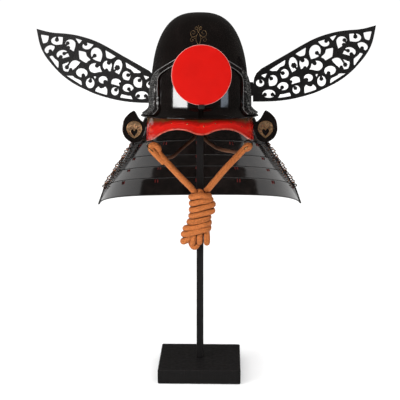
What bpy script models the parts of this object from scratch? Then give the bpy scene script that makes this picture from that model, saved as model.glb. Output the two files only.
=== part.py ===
"""Kabuto samurai helmet on its display stand.

Metres, +Z up, the face of the helmet towards -Y. The underside of the stand's base lies in Z = 0.
The helmet's pieces are modelled in the helmet's own frame: its origin is the middle of the bowl's
rim, and an empty tilts that frame back on the stand."""

import math

import bpy
import numpy as np

# Clearance between two pieces that touch on the real helmet
GAP = 0.0003

# Stand
BASE_WIDTH = 0.180
BASE_HEIGHT = 0.032
BASE_BEVEL = 0.002
STAND_TURN = math.radians(-2.8)
POST_WIDTH = 0.015
SEAT_DEPTH = 0.036

# How the helmet sits on the stand
RIM_HEIGHT = 0.5774
HELMET_TILT = math.radians(4.0)
HELMET_ASIDE = -0.0012

# Bowl: a tall dome that flares into a rim
BOWL_WIDTH = 0.208
BOWL_LENGTH = 0.232
DOME_HEIGHT = 0.197
PLAN_ROUNDNESS = 2.7
SIDE_ROUNDNESS = 2.6
FLARE_HEIGHT = 0.020
FLARE_OUT = 0.020
FLARE_CURVE = 1.7
BOWL_WALL = 0.0025
AROUND = 36
DOME_ROWS = 8
FLARE_ROWS = 2

# Raised band that arches over the brow and widens down both sides
BAND_LIFT = 0.0011
BAND_HEIGHT = 0.0032
# columns: inner angle from the front and inner height, outer angle and outer height,
# in degrees and in shares of DOME_HEIGHT
BAND_PATH = [
    (0, 0.535, 0, 0.590),
    (12, 0.515, 12, 0.572),
    (25, 0.468, 24, 0.527),
    (39, 0.405, 37, 0.470),
    (49, 0.352, 50, 0.415),
    (52, 0.290, 63, 0.365),
    (50, 0.210, 74, 0.280),
    (50, 0.120, 82, 0.170),
    (51, 0.030, 86, 0.050),
    (51, -0.045, 87, -0.045),
    (51, -0.092, 87, -0.092),
]

# Front peak that hangs below the rim
PEAK_WALL = 0.002
PEAK_TOP = -0.0015
PEAK_INSET = 0.0075
PEAK_END = 72
PEAK_REACH = 0.0345
PEAK_DROP = 0.050
PEAK_BROW = 0.0035
# columns: angle from the front as a share of PEAK_END, drop of the lower edge as a share of PEAK_DROP
PEAK_EDGE = [
    (0.00, 0.60),
    (0.06, 0.57),
    (0.14, 0.45),
    (0.24, 0.40),
    (0.36, 0.44),
    (0.50, 0.60),
    (0.66, 0.83),
    (0.82, 0.95),
    (1.00, 1.00),
]

# Round crest in its clip
DISC_DIAMETER = 0.120
DISC_THICKNESS = 0.003
DISC_HEIGHT = 0.0282
DISC_OUT = 0.0450
CLIP_WIDTH = 0.012
CLIP_WALL = 0.004
CLIP_REACH = 0.050
CLIP_FLOOR = 0.007
CLIP_LIP = 0.0014

# Neck guard: lames that widen downwards and droop towards the back
LAMES = 5
LAME_WALL = 0.002
LAME_OVERLAP = 0.2
LAME_SLANT = 1.45
GUARD_WIDTH = 0.437
GUARD_LENGTH = 0.510
GUARD_DROP = 0.189
GUARD_DROOP = 0.014
GUARD_INSET = 0.011
GUARD_TOP = -0.0039
GUARD_FRONT = 0.030
GUARD_FRONT_LOW = 0.012
GUARD_AROUND = 26
# columns: share of the drop, of the widening, of the lengthening and of the droop, a row for each
# lame's edge
GUARD_LEVELS = [
    (0.000, 0.000, 0.000, 0.00),
    (0.361, 0.318, 0.231, 0.00),
    (0.528, 0.509, 0.442, 0.20),
    (0.668, 0.673, 0.654, 0.35),
    (0.808, 0.845, 0.827, 0.52),
    (1.000, 1.000, 1.000, 1.00),
]

# Turnbacks at the front ends of the top lame, with their gilt plaques
TURNBACK_HEIGHT = 0.0676
TURNBACK_WALL = 0.0025
TURNBACK_OUT = 0.0145
TURNBACK_DROP = 0.0280
# columns: out and up from the plaque's middle, in hundredths of TURNBACK_HEIGHT
TURNBACK_EDGE = [
    (2, 58),
    (15, 50),
    (27, 38),
    (34, 25),
    (37, 6),
    (36, -10),
    (29, -25),
    (17, -36),
    (3, -42),
    (-9, -41),
    (-21, -36),
    (-29, -23),
    (-35, -6),
    (-39, 11),
    (-29, 21),
    (-16, 33),
    (-9, 44),
    (-3, 55),
]
PLAQUE_HEIGHT = 0.0370
PLAQUE_WALL = 0.0014
# columns: half width and height, in hundredths of PLAQUE_HEIGHT, from the top to the bottom point
PLAQUE_EDGE = [(0, 48), (20, 44), (37, 30), (44, 8), (41, -10), (29, -30), (12, -45), (0, -50)]
HEART_WIDTH = 0.016
HEART_DROP = 0.0055

# Wings: flat pierced plates, charted on squares of the wing's span
WING_SQUARES = 113
WING_WALL = 0.003
WING_BACK = 0.069
LEFT_WING_SPAN = 0.2440
LEFT_WING_OUT = 0.0028
LEFT_WING_HEIGHT = 0.0502
RIGHT_WING_SPAN = 0.2510
RIGHT_WING_OUT = 0.0312
RIGHT_WING_HEIGHT = 0.0530
# columns: name, side, span, then how far out from the bowl's side and up the chart's corner lies
WINGS = [
    ("left", -1, LEFT_WING_SPAN, LEFT_WING_OUT, LEFT_WING_HEIGHT),
    ("right", 1, RIGHT_WING_SPAN, RIGHT_WING_OUT, RIGHT_WING_HEIGHT),
]
SOCKET_WALL = 0.004
SOCKET_HEIGHT = 0.030
STALK = 1.9
# columns: squares out from the bowl, squares up
WING_EDGE = [
    (113.2, 61.8),
    (99.3, 58.0),
    (84.8, 57.2),
    (72.3, 55.4),
    (55.0, 50.2),
    (41.0, 42.8),
    (28.0, 35.2),
    (11.0, 25.6),
    (-7.2, 15.2),
    (-7.2, -12.3),
    (2.8, -12.3),
    (15.2, -12.0),
    (31.8, -10.0),
    (52.6, -4.5),
    (65.0, 1.1),
    (78.2, 7.7),
    (90.0, 16.9),
    (99.0, 26.8),
    (105.9, 36.0),
    (110.5, 46.2),
]
# columns: out, up, half length, half width, turn in degrees, then the opening's pointed tails as
# (angle, share of the way out), then the vines that grow into it, as the angle where each enters,
# the angle and share of the way out to its bulb, and the bulb's radius
WING_CURLS = [
    (93.4, 50.0, 6.2, 4.4, 0, [(140, 1.35), (222, 1.20)], [(95, 95, 0.25, 2.1)]),
    (79.8, 46.8, 5.7, 5.0, 0, [(249, 1.65)], [(338, 20, 0.50, 1.9), (302, 298, 0.82, 1.9)]),
    (63.2, 44.7, 4.9, 3.6, 0, [(163, 1.50)], [(66, 66, 0.60, 1.8)]),
    (100.9, 41.9, 5.6, 3.7, -25, [(287, 1.15), (155, 1.10)], [(250, 247, 0.62, 1.9)]),
    (88.3, 36.7, 6.2, 4.4, 165, [(207, 1.45)], [(286, 286, 0.60, 1.9), (163, 163, 0.35, 1.8)]),
    (79.6, 24.9, 9.2, 4.6, 150, [(169, 1.17), (30, 1.45)], [(75, 354, 0.50, 2.2), (260, 258, 0.70, 1.7)]),
    (68.7, 18.0, 6.3, 4.9, 10, [], [(256, 248, 0.54, 1.9)]),
    (60.5, 7.6, 5.6, 4.8, 90, [], [(100, 98, 0.40, 2.0)]),
    (55.7, 22.7, 6.2, 5.3, 0, [(210, 1.45)], [(128, 130, 0.58, 2.1)]),
    (53.6, 36.7, 7.0, 6.1, 70, [(242, 1.25)], [(324, 324, 0.40, 2.0)]),
    (42.9, 25.2, 5.0, 5.2, 0, [(242, 1.35)], [(118, 120, 0.63, 2.2), (282, 282, 0.90, 1.7)]),
    (32.2, 24.4, 7.3, 4.6, 100, [(254, 1.24)], [(320, 304, 0.22, 2.8)]),
    (23.8, 15.1, 4.9, 4.5, 90, [(241, 1.15)], [(165, 167, 0.40, 2.0)]),
    (12.4, 8.4, 5.7, 4.8, 90, [(231, 1.27)], [(140, 139, 0.50, 2.0)]),
    (-0.4, 5.8, 4.5, 3.9, 0, [], [(95, 60, 0.35, 1.8)]),
    (47.4, 10.9, 4.9, 4.1, 0, [], [(224, 230, 0.68, 2.1)]),
    (34.1, 8.9, 5.3, 3.5, 10, [(325, 1.25), (248, 1.35)], [(212, 212, 0.90, 1.5)]),
    (35.5, -0.7, 4.5, 4.2, 90, [], [(130, 124, 0.40, 1.9)]),
    (22.6, 2.7, 5.5, 4.4, 0, [(184, 1.15)], [(240, 233, 0.35, 1.9)]),
    (8.4, -4.7, 7.0, 4.4, 0, [], [(332, 340, 0.55, 2.0), (205, 200, 0.60, 2.0)]),
]
# corners of each opening between the vines and the rim, as squares out and squares up
WING_CORNERS = [
    [(109.6, 56.5), (100.8, 55.1), (102.0, 50.0), (103.4, 48.1), (107.4, 47.2)],
    [(74.9, 52.8), (67.6, 50.6), (71.1, 46.6)],
    [(101.5, 34.4), (97.9, 35.6), (96.2, 33.0), (91.7, 29.5), (92.0, 22.8), (93.4, 23.2)],
    [(71.8, 40.5), (64.2, 38.9), (63.4, 34.8), (59.2, 31.0), (62.6, 29.4), (64.0, 27.4), (71.1, 31.6)],
    [(84.7, 15.2), (77.5, 15.2), (76.1, 13.2), (69.3, 10.3), (68.5, 4.9)],
    [(44.8, 40.8), (33.8, 34.3), (38.8, 31.6), (42.9, 32.4), (44.1, 33.8)],
    [(24.7, 28.8), (8.9, 19.0), (9.4, 17.5), (16.3, 17.4), (19.0, 21.0), (23.8, 23.0)],
    [(6.6, 15.5), (1.0, 14.0), (0.7, 13.0), (4.5, 10.6)],
    [(57.1, 14.8), (53.9, 14.3), (55.6, 11.2)],
    [(52.0, 4.9), (50.4, 2.4), (47.4, 2.8), (45.0, 4.5), (43.0, 1.3), (43.5, -4.8), (55.6, -0.9), (55.2, 1.8)],
    [(29.1, -3.3), (21.8, -5.2), (19.3, -5.0), (17.3, -9.2), (30.7, -7.2)],
]

# Chin cord, its rings and the hank it is tied up in
CORD = 0.014
BACK_CORD = 0.008
RING_RADIUS = 0.009
RING_WIRE = 0.0015
RING_INSET = 0.021
RING_FRONT = 0.0132
RING_DROP = 0.064
RING_LUG = 0.003
BACK_RING_DROP = 0.0273
HANK_TOP = 0.4170
HANK_HEIGHT = 0.133
HANK_WIDTH = 0.064
HANK_DEPTH = 0.042
# columns: share of the height from the top, share of the width, share of the depth, shift aside as a share
HANK_SHAPE = [
    (0.00, 0.78, 0.60, 0.03),
    (0.05, 0.84, 0.85, 0.05),
    (0.12, 0.90, 1.00, 0.09),
    (0.24, 0.94, 1.00, 0.09),
    (0.42, 0.94, 1.00, 0.07),
    (0.52, 0.96, 1.00, -0.08),
    (0.62, 1.00, 1.00, -0.12),
    (0.76, 1.00, 0.95, -0.12),
    (0.88, 0.92, 0.85, -0.15),
    (0.95, 0.60, 0.70, -0.17),
    (1.00, 0.34, 0.50, -0.17),
]
HANK_AROUND = 12
# The strands from the outer rings down to the hank, and those from the back ring, in world coordinates
LEFT_STRAND = [
    (-0.0960, -0.0315, 0.5073),
    (-0.0861, -0.0330, 0.4930),
    (-0.0628, -0.0340, 0.4665),
    (-0.0372, -0.0340, 0.4405),
    (-0.0235, -0.0330, 0.4285),
    (-0.0185, -0.0325, 0.4225),
    (-0.0180, -0.0325, 0.4176),
]
RIGHT_STRAND = [
    (0.0938, -0.0315, 0.5075),
    (0.0803, -0.0330, 0.4930),
    (0.0527, -0.0340, 0.4640),
    (0.0320, -0.0340, 0.4395),
    (0.0230, -0.0330, 0.4285),
    (0.0185, -0.0325, 0.4225),
    (0.0180, -0.0325, 0.4176),
]
REAR_LEFT_STRAND = [
    (-0.0055, 0.1180, 0.5298),
    (-0.0070, 0.1130, 0.5200),
    (-0.0120, 0.0990, 0.5110),
    (-0.0365, 0.0580, 0.4970),
    (-0.0585, 0.0000, 0.4865),
    (-0.0700, -0.0140, 0.4860),
    (-0.0776, -0.0250, 0.4872),
]
REAR_RIGHT_STRAND = [
    (0.0031, 0.1180, 0.5298),
    (0.0050, 0.1130, 0.5200),
    (0.0110, 0.0990, 0.5110),
    (0.0350, 0.0500, 0.4985),
    (0.0520, 0.0200, 0.4965),
    (0.0720, 0.0000, 0.4960),
    (0.0815, -0.0248, 0.4972),
]

BLACK_LACQUER = ("black_lacquer", (0.012, 0.011, 0.011, 1), 0.12, 0.0)
RED_LACQUER = ("red_lacquer", (0.62, 0.012, 0.010, 1), 0.18, 0.0)
GILT = ("gilt", (0.62, 0.38, 0.16, 1), 0.35, 1.0)
MATTE_BLACK = ("matte_black", (0.018, 0.017, 0.017, 1), 0.55, 0.0)
ORANGE_CORD = ("orange_cord", (0.58, 0.20, 0.06, 1), 0.85, 0.0)
BROWN_CORD = ("brown_cord", (0.07, 0.028, 0.012, 1), 0.85, 0.0)


def collection(name):
    made = bpy.data.collections.new(name)
    bpy.context.scene.collection.children.link(made)
    return made


def material(look):
    """The material of that look, made once."""
    name, colour, roughness, metallic = look
    if name in bpy.data.materials:
        return bpy.data.materials[name]
    made = bpy.data.materials.new(name)
    made.use_nodes = True
    shader = made.node_tree.nodes["Principled BSDF"]
    shader.inputs["Base Color"].default_value = colour
    shader.inputs["Roughness"].default_value = roughness
    shader.inputs["Metallic"].default_value = metallic
    made.diffuse_color = colour
    return made


def place(obj, look, parent=None):
    """Puts an object in the part's collection, with its material, under its parent."""
    PART.objects.link(obj)
    obj.data.materials.append(material(look))
    obj.parent = parent
    return obj


def mesh_object(name, points, faces, look, parent=None, sharp=40):
    mesh = bpy.data.meshes.new(name)
    mesh.from_pydata([tuple(p) for p in points], [], faces)
    mesh.shade_smooth()
    mesh.set_sharp_from_angle(angle=math.radians(sharp))
    return place(bpy.data.objects.new(name, mesh), look, parent)


def smooth_rows(rows, steps, closed=False):
    """Rows of numbers on a smooth curve through the given rows, with that many steps to a span."""
    rows = [np.array(row, float) for row in rows]
    count = len(rows)

    def row(k):
        return rows[k % count] if closed else rows[max(0, min(count - 1, k))]

    found = []
    for k in range(count if closed else count - 1):
        a, b, c, d = (row(k + n) for n in (-1, 0, 1, 2))
        for step in range(steps):
            t = step / steps
            cubic = (3 * b - a - 3 * c + d) * t**3
            found.append(0.5 * (2 * b + (c - a) * t + (2 * a - 5 * b + 4 * c - d) * t**2 + cubic))
    if not closed:
        found.append(row(count - 1))
    return found


def between(rows, at):
    """The row of a table at that value of its first column, read along straight lines."""
    columns = np.array(rows, float).T
    return [np.interp(at, columns[0], column) for column in columns]


def grid_faces(rows, columns, ring=False, start=0):
    """Quads of a grid of points stored row by row, each row above the one before."""
    found = []
    for i in range(rows - 1):
        low = start + i * columns
        high = low + columns
        for j in range(columns if ring else columns - 1):
            k = (j + 1) % columns
            found.append((low + j, low + k, high + k, high + j))
    return found


def shell(name, rows, wall, look, parent, ring=False, capped=False):
    """An open surface through rows of points, from the lowest row up, thickened inwards."""
    columns = len(rows[0])
    faces = grid_faces(len(rows), columns, ring)
    if capped:
        faces.append(tuple((len(rows) - 1) * columns + j for j in range(columns)))
    obj = mesh_object(name, [p for row in rows for p in row], faces, look, parent)
    solid = obj.modifiers.new("wall", "SOLIDIFY")
    solid.thickness = wall
    solid.offset = -1
    return obj


def slab(name, front, back, look, parent):
    """A closed piece between two grids of points of the same shape."""
    rows, columns = len(front), len(front[0])
    size = rows * columns
    faces = grid_faces(rows, columns)
    faces += [face[::-1] for face in grid_faces(rows, columns, start=size)]
    rim = [j for j in range(columns)]
    rim += [i * columns + columns - 1 for i in range(1, rows)]
    rim += [(rows - 1) * columns + j for j in reversed(range(columns - 1))]
    rim += [i * columns for i in reversed(range(1, rows - 1))]
    for a, b in zip(rim, rim[1:] + rim[:1]):
        faces.append((a, a + size, b + size, b))
    return mesh_object(name, [p for row in front + back for p in row], faces, look, parent)


def stack(name, rings, look, parent=None):
    """A closed piece through rings of points, from the lowest ring up, with flat ends."""
    columns = len(rings[0])
    faces = grid_faces(len(rings), columns, ring=True)
    faces.append(tuple(reversed(range(columns))))
    faces.append(tuple((len(rings) - 1) * columns + j for j in range(columns)))
    return mesh_object(name, [p for ring in rings for p in ring], faces, look, parent)


def prism(name, outline, half_width, look, parent):
    """A side outline of (y, z) points, drawn out to both sides along X."""
    count = len(outline)
    points = [(side, y, z) for side in (-half_width, half_width) for y, z in outline]
    faces = [tuple(range(count)), tuple(reversed(range(count, 2 * count)))]
    faces += [(k, k + count, (k + 1) % count + count, (k + 1) % count) for k in range(count)]
    return mesh_object(name, points, faces, look, parent)


def cut_plate(name, outline, holes, wall, look, parent):
    """A flat plate across Y, cut from an outline of (x, z) points with holes through it."""
    curve = bpy.data.curves.new(name, "CURVE")
    curve.dimensions = "2D"
    curve.fill_mode = "BOTH"
    curve.extrude = wall / 2
    for points in [outline] + holes:
        spline = curve.splines.new("POLY")
        spline.points.add(len(points) - 1)
        for point, (x, z) in zip(spline.points, points):
            point.co = (x, z, 0, 1)
        spline.use_cyclic_u = True
    obj = place(bpy.data.objects.new(name, curve), look, parent)
    obj.rotation_euler.x = math.radians(90)
    return obj


def tube(name, points, diameter, look, steps=2):
    """A round cord along a smooth line through the points."""
    curve = bpy.data.curves.new(name, "CURVE")
    curve.dimensions = "3D"
    curve.bevel_depth = diameter / 2
    curve.bevel_resolution = 2
    curve.use_fill_caps = True
    line = smooth_rows(points, steps)
    spline = curve.splines.new("POLY")
    spline.points.add(len(line) - 1)
    for point, place_at in zip(spline.points, line):
        point.co = (*place_at, 1)
    return place(bpy.data.objects.new(name, curve), look)


def torus(name, radius, wire, look, parent):
    """A ring of wire that faces the front."""
    sides, around = 5, 14
    points = []
    for i in range(around):
        a = 2 * math.pi * i / around
        for j in range(sides):
            b = 2 * math.pi * j / sides
            out = radius + wire * math.cos(b)
            points.append((out * math.cos(a), wire * math.sin(b), out * math.sin(a)))
    faces = []
    for i in range(around):
        for j in range(sides):
            k, n = (i + 1) % around, (j + 1) % sides
            faces.append((i * sides + j, i * sides + n, k * sides + n, k * sides + j))
    obj = mesh_object(name, points, faces, look, parent, sharp=80)
    return obj


def bowl_point(angle, height, lift=0.0):
    """A point of the bowl's outer face, at an angle from the front and a height above the flare."""
    if height >= 0:
        share = max(0.0, 1 - (min(height, DOME_HEIGHT) / DOME_HEIGHT) ** SIDE_ROUNDNESS)
        round_in = share ** (1 / PLAN_ROUNDNESS)
        flare = 0.0
    else:
        round_in = 1.0
        flare = FLARE_OUT * (-height / FLARE_HEIGHT) ** FLARE_CURVE
    across = BOWL_WIDTH / 2 * round_in + flare
    along = BOWL_LENGTH / 2 * round_in + flare
    point = np.array((across * math.sin(angle), -along * math.cos(angle), height + FLARE_HEIGHT))
    if not lift:
        return point
    small = 1e-4
    around = bowl_point(angle + small, height) - bowl_point(angle - small, height)
    up = bowl_point(angle, min(height + small, DOME_HEIGHT - small)) - bowl_point(angle, height - small)
    normal = np.cross(around, up)
    return point + lift * normal / np.linalg.norm(normal)


def dome_heights():
    """Heights of the dome's rows, closer together where it curves over."""
    found = []
    for k in range(DOME_ROWS):
        a = math.pi / 2 * k / DOME_ROWS
        found.append(DOME_HEIGHT * math.sin(a) ** (2 / SIDE_ROUNDNESS) if k else 0.0)
    return found + [DOME_HEIGHT * 0.9997]


def bowl_ring(height, lift=0.0):
    return [bowl_point(2 * math.pi * j / AROUND, height, lift) for j in range(AROUND)]


def make_bowl():
    heights = [-FLARE_HEIGHT * (1 - k / FLARE_ROWS) for k in range(FLARE_ROWS)] + dome_heights()
    shell("bowl", [bowl_ring(h) for h in heights], BOWL_WALL, BLACK_LACQUER, HELMET, ring=True, capped=True)


def make_brow_band():
    path = smooth_rows(BAND_PATH, 2)
    path = [row * np.array((-1, 1, -1, 1)) for row in reversed(path[1:])] + path
    lifts = (0.0, 1.0, 0.45, 0.45, 1.0, 0.0)
    face, back = [], []
    for inner_angle, inner_height, outer_angle, outer_height in path:
        for rows, full in ((face, BAND_HEIGHT), (back, 0.0)):
            row = []
            for k, lift in enumerate(lifts):
                share = k / (len(lifts) - 1)
                angle = math.radians(inner_angle + share * (outer_angle - inner_angle))
                height = DOME_HEIGHT * (inner_height + share * (outer_height - inner_height))
                row.append(bowl_point(angle, height, BAND_LIFT + full * (0.35 + 0.65 * lift)))
            rows.append(row)
    slab("brow_band", back, face, BLACK_LACQUER, HELMET)


def rim_half_width():
    return BOWL_WIDTH / 2 + FLARE_OUT


def rim_half_length():
    return BOWL_LENGTH / 2 + FLARE_OUT


def peak_point(angle_share, down):
    """A point of the peak's outer face: across it from -1 to 1, and down it from 0 at the rim to 1."""
    angle = math.radians(PEAK_END * angle_share)
    _, edge = between(smooth_rows(PEAK_EDGE, 4), abs(angle_share))
    front = math.cos(angle) ** 2.2
    bulge = PEAK_BROW * math.exp(-(((down - 0.62) / 0.16) ** 2))
    bulge *= math.sin(math.pi * min(1, abs(angle_share) * 1.1)) ** 0.5
    out = PEAK_REACH * front * down**1.15 - PEAK_INSET + bulge
    across = rim_half_width() + out
    along = rim_half_length() + out
    drop = PEAK_TOP + (PEAK_DROP * edge - PEAK_TOP) * down
    return (across * math.sin(angle), -along * math.cos(angle), -drop)


def make_peak():
    steps, rows = 24, 6
    shares = [-1 + 2 * k / steps for k in range(steps + 1)]
    points = [[peak_point(share, 1 - k / rows) for share in shares] for k in range(rows + 1)]
    shell("brow_plate", points, PEAK_WALL, RED_LACQUER, HELMET)


def guard_level(level):
    """(half width, half length, drop, droop) of the neck guard at a level from 0 at the rim to LAMES."""
    rows = [(k, *row) for k, row in enumerate(GUARD_LEVELS)]
    _, down, widening, lengthening, droop = between(rows, level)
    top_width = rim_half_width() - GUARD_INSET
    top_length = rim_half_length() - GUARD_INSET
    return (
        top_width + (GUARD_WIDTH / 2 - top_width) * widening,
        top_length + (GUARD_LENGTH / 2 - top_length) * lengthening,
        GUARD_TOP + (GUARD_DROP - GUARD_TOP) * down,
        GUARD_DROOP * droop,
    )


def guard_level_at(drop):
    """The level at which the guard's sides have come down that far."""
    drops = [guard_level(level)[2] for level in range(LAMES + 1)]
    return float(np.interp(drop, drops, range(LAMES + 1)))


def guard_point(level, share, lift=0.0):
    """A point of the guard's outer face: share runs from -1 at the left front end to 1 at the right one."""
    half_width, half_length, drop, droop = guard_level(level)
    front = GUARD_FRONT + (GUARD_FRONT_LOW - GUARD_FRONT) * max(0, level - 1) / (LAMES - 1)
    end = math.pi - math.acos(front / (half_length + lift))
    angle = math.pi + share * -end
    x = (half_width + lift) * math.sin(angle)
    y = -(half_length + lift) * math.cos(angle)
    return np.array((x, y, -drop - droop * (y / half_length) ** 2))


def make_neck_guard():
    step_out = (LAME_WALL * LAME_SLANT + GAP) * (1 + LAME_OVERLAP)
    for n in range(LAMES):
        top = n - LAME_OVERLAP if n else 0
        levels = [n + 1, n + 1 - LAME_OVERLAP, n, top] if n else [1, 1 - LAME_OVERLAP, 0]
        rows = []
        for level in levels:
            lift = step_out * (n + 1 - level) / (1 + LAME_OVERLAP) if n else 0.0
            rows.append([guard_point(level, 1 - 2 * k / GUARD_AROUND, lift) for k in range(GUARD_AROUND + 1)])
        shell(f"neck_lame_{n + 1}", rows, LAME_WALL, BLACK_LACQUER, HELMET)


def heart(width):
    """A heart's outline of that width, point down."""
    found = []
    for k in range(18):
        t = 2 * math.pi * (k + 0.5) / 18
        x = 16 * math.sin(t) ** 3
        z = 13 * math.cos(t) - 5 * math.cos(2 * t) - 2 * math.cos(3 * t) - math.cos(4 * t)
        found.append((x * width / 32, z * width / 32))
    return found


def make_turnbacks():
    plate_y = -GUARD_FRONT - GAP - TURNBACK_WALL / 2
    square = TURNBACK_HEIGHT / 100
    right_half = [(w * PLAQUE_HEIGHT / 100, z * PLAQUE_HEIGHT / 100) for w, z in PLAQUE_EDGE]
    oval = right_half + [(-x, z) for x, z in reversed(right_half[1:-1])]
    oval = [tuple(p) for p in smooth_rows(oval, 2, closed=True)]
    for side, name in ((-1, "left"), (1, "right")):
        edge = [(side * out * square, up * square) for out, up in smooth_rows(TURNBACK_EDGE, 1, closed=True)]
        plate = cut_plate(f"turnback_{name}", edge, [], TURNBACK_WALL, BLACK_LACQUER, HELMET)
        plate.location = (side * (rim_half_width() + TURNBACK_OUT), plate_y, -TURNBACK_DROP)
        hole = [(x, z - HEART_DROP) for x, z in heart(HEART_WIDTH)]
        plaque = cut_plate(f"plaque_{name}", oval, [hole], PLAQUE_WALL, GILT, HELMET)
        plaque.location = plate.location
        plaque.location.y -= TURNBACK_WALL / 2 + GAP + PLAQUE_WALL / 2


def curl_outline(out, up, half_length, half_width, turn, tails, vines, around=9, bulb_steps=4):
    """An opening's outline: an oval with pointed tails that its vines grow into, each to a round bulb."""
    turn = math.radians(turn)
    size = half_length + half_width

    def on(angle, share=1.0):
        x = half_length * math.cos(angle - turn) * share
        y = half_width * math.sin(angle - turn) * share
        across = out + x * math.cos(turn) - y * math.sin(turn)
        return np.array((across, up + x * math.sin(turn) + y * math.cos(turn)))

    stems = []
    for gate, bulb_at, reach, bulb in sorted(vines):
        gate = math.radians(gate)
        centre = on(math.radians(bulb_at), reach)
        way = on(gate) - centre
        room = np.linalg.norm(way)
        way = way / room
        across = np.array((-way[1], way[0]))
        opening = math.radians(52)
        mouth = STALK / size
        ends = []
        if room < 1.25 * bulb:
            opening = max(math.radians(62), math.acos(min(1.0, room / bulb)) + 0.2)
            mouth = 2.6 * bulb * math.sin(opening) / size
        else:
            neck = centre + way * bulb * 0.8
            ends = [neck - across * STALK * 0.42, neck + across * STALK * 0.42]
        start = math.atan2(way[1], way[0])
        turns = [start - opening - 2 * (math.pi - opening) * k / bulb_steps for k in range(bulb_steps + 1)]
        round_bulb = [centre + bulb * np.array((math.cos(a), math.sin(a))) for a in turns]
        stems.append((gate, mouth, ends[:1] + round_bulb + ends[1:]))

    found = []
    for n, (gate, mouth, stem) in enumerate(stems):
        following, next_mouth, _ = stems[(n + 1) % len(stems)]
        if following <= gate:
            following += 2 * math.pi
        first, last = gate + mouth, following - next_mouth
        found += stem
        if last - first < 0.4:
            found.append(on((first + last) / 2, 0.85))
            continue
        count = max(2, round(around * (last - first) / (2 * math.pi)))
        rim = [(first + (last - first) * k / count, 1.0) for k in range(count + 1)]
        tips = [((math.radians(angle) - first) % (2 * math.pi) + first, share) for angle, share in tails]
        tips = [tip for tip in tips if tip[0] < last]
        rim = [point for point in rim if all(abs(point[0] - tip[0]) > 0.3 for tip in tips)]
        found += [on(*point) for point in sorted(rim + tips)]
    return found


def corner_outline(corners, cut=0.6):
    """An opening's outline with straight sides and its corners cut."""
    found = []
    for k, corner in enumerate(corners):
        here = np.array(corner)
        for other in (corners[k - 1], corners[(k + 1) % len(corners)]):
            way = np.array(other) - here
            found.append(here + way * min(cut / np.linalg.norm(way), 0.3))
    return found


def make_wings():
    holes = [curl_outline(*row) for row in WING_CURLS] + [corner_outline(row) for row in WING_CORNERS]
    for name, side, span, out, up in WINGS:
        square = span / WING_SQUARES
        edges = [np.array(edge) * square * (side, 1) for edge in [WING_EDGE] + holes]
        plate = cut_plate(f"wing_{name}", edges[0], edges[1:], WING_WALL, MATTE_BLACK, HELMET)
        corner = BOWL_WIDTH / 2 + out
        plate.location = (side * corner, WING_BACK, up)
        root = min(row[0] for row in WING_EDGE) * square
        make_socket(f"wing_socket_{name}", side, corner + root - GAP, up)


def make_socket(name, side, outer_x, up):
    """A block on the bowl's side that carries a wing's root, fitted to the bowl's curve."""
    half_width = WING_WALL / 2 + SOCKET_WALL
    rings = []
    for end in (-1, 1):
        z = up + end * SOCKET_HEIGHT / 2
        ring = []
        for k in range(5):
            y = WING_BACK - half_width + 2 * half_width * k / 4
            share = max(0.0, 1 - ((z - FLARE_HEIGHT) / DOME_HEIGHT) ** SIDE_ROUNDNESS) ** (1 / PLAN_ROUNDNESS)
            along, across = BOWL_LENGTH / 2 * share, BOWL_WIDTH / 2 * share
            ring.append((side * (across * math.sqrt(1 - (y / along) ** 2) + GAP), y, z))
        ring += [(side * outer_x, WING_BACK + half_width, z), (side * outer_x, WING_BACK - half_width, z)]
        rings.append(ring if side < 0 else ring[::-1])
    stack(name, rings, MATTE_BLACK, HELMET)


def make_disc():
    """The round crest and the clip that holds it in front of the bowl."""
    radius = DISC_DIAMETER / 2
    face_y = -BOWL_LENGTH / 2 - DISC_OUT
    sides = 36
    turns = [2 * math.pi * k / sides for k in range(sides)]
    outline = [(radius * math.sin(turn), radius * math.cos(turn)) for turn in turns]
    disc = cut_plate("crest_disc", outline, [], DISC_THICKNESS, RED_LACQUER, HELMET)
    disc.location = (0, face_y, DISC_HEIGHT + radius)
    back = face_y + DISC_THICKNESS / 2 + GAP
    front = face_y - DISC_THICKNESS / 2 - GAP
    foot_back = -BOWL_LENGTH / 2 - GAP
    top = DISC_HEIGHT - GAP
    outline = [
        (foot_back, top - CLIP_FLOOR),
        (front - CLIP_WALL / 2, top - CLIP_FLOOR),
        (front - CLIP_WALL / 2, top + CLIP_LIP),
        (front, top + CLIP_LIP),
        (front, top),
        (back, top),
        (back, top + CLIP_REACH),
        (back + CLIP_WALL, top + CLIP_REACH),
        (back + CLIP_WALL, top),
        (foot_back, top),
    ]
    prism("crest_clip", outline, CLIP_WIDTH / 2, BLACK_LACQUER, HELMET)


def make_rings():
    """The wire rings inside the guard that the chin cord hangs from, with the lugs of the outer two."""
    reach = RING_RADIUS + RING_WIRE
    ring_out = rim_half_width() - RING_INSET
    lug_top = RING_DROP - reach - GAP - RING_LUG
    half_width, half_length, _, _ = guard_level(guard_level_at(lug_top))
    wall = half_width * math.sqrt(1 - (RING_FRONT / half_length) ** 2) - LAME_WALL * 1.3 - GAP
    for side, name in ((-1, "left"), (1, "right")):
        ring = torus(f"cord_ring_{name}", RING_RADIUS, RING_WIRE, BLACK_LACQUER, HELMET)
        ring.location = (side * ring_out, -RING_FRONT, -RING_DROP)
        near, far = sorted((side * (ring_out - RING_LUG), side * wall))
        corners = [(near, -1), (far, -1), (far, 1), (near, 1)]
        heights = (-lug_top - RING_LUG, -lug_top)
        ends = [[(x, -RING_FRONT + y * RING_LUG / 2, z) for x, y in corners] for z in heights]
        stack(f"ring_lug_{name}", ends, BLACK_LACQUER, HELMET)
    _, half_length, _, _ = guard_level(guard_level_at(BACK_RING_DROP - reach))
    back = torus("cord_ring_back", RING_RADIUS, RING_WIRE, BLACK_LACQUER, HELMET)
    back.location = (0, half_length - LAME_WALL - GAP - RING_WIRE, -BACK_RING_DROP)


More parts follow.
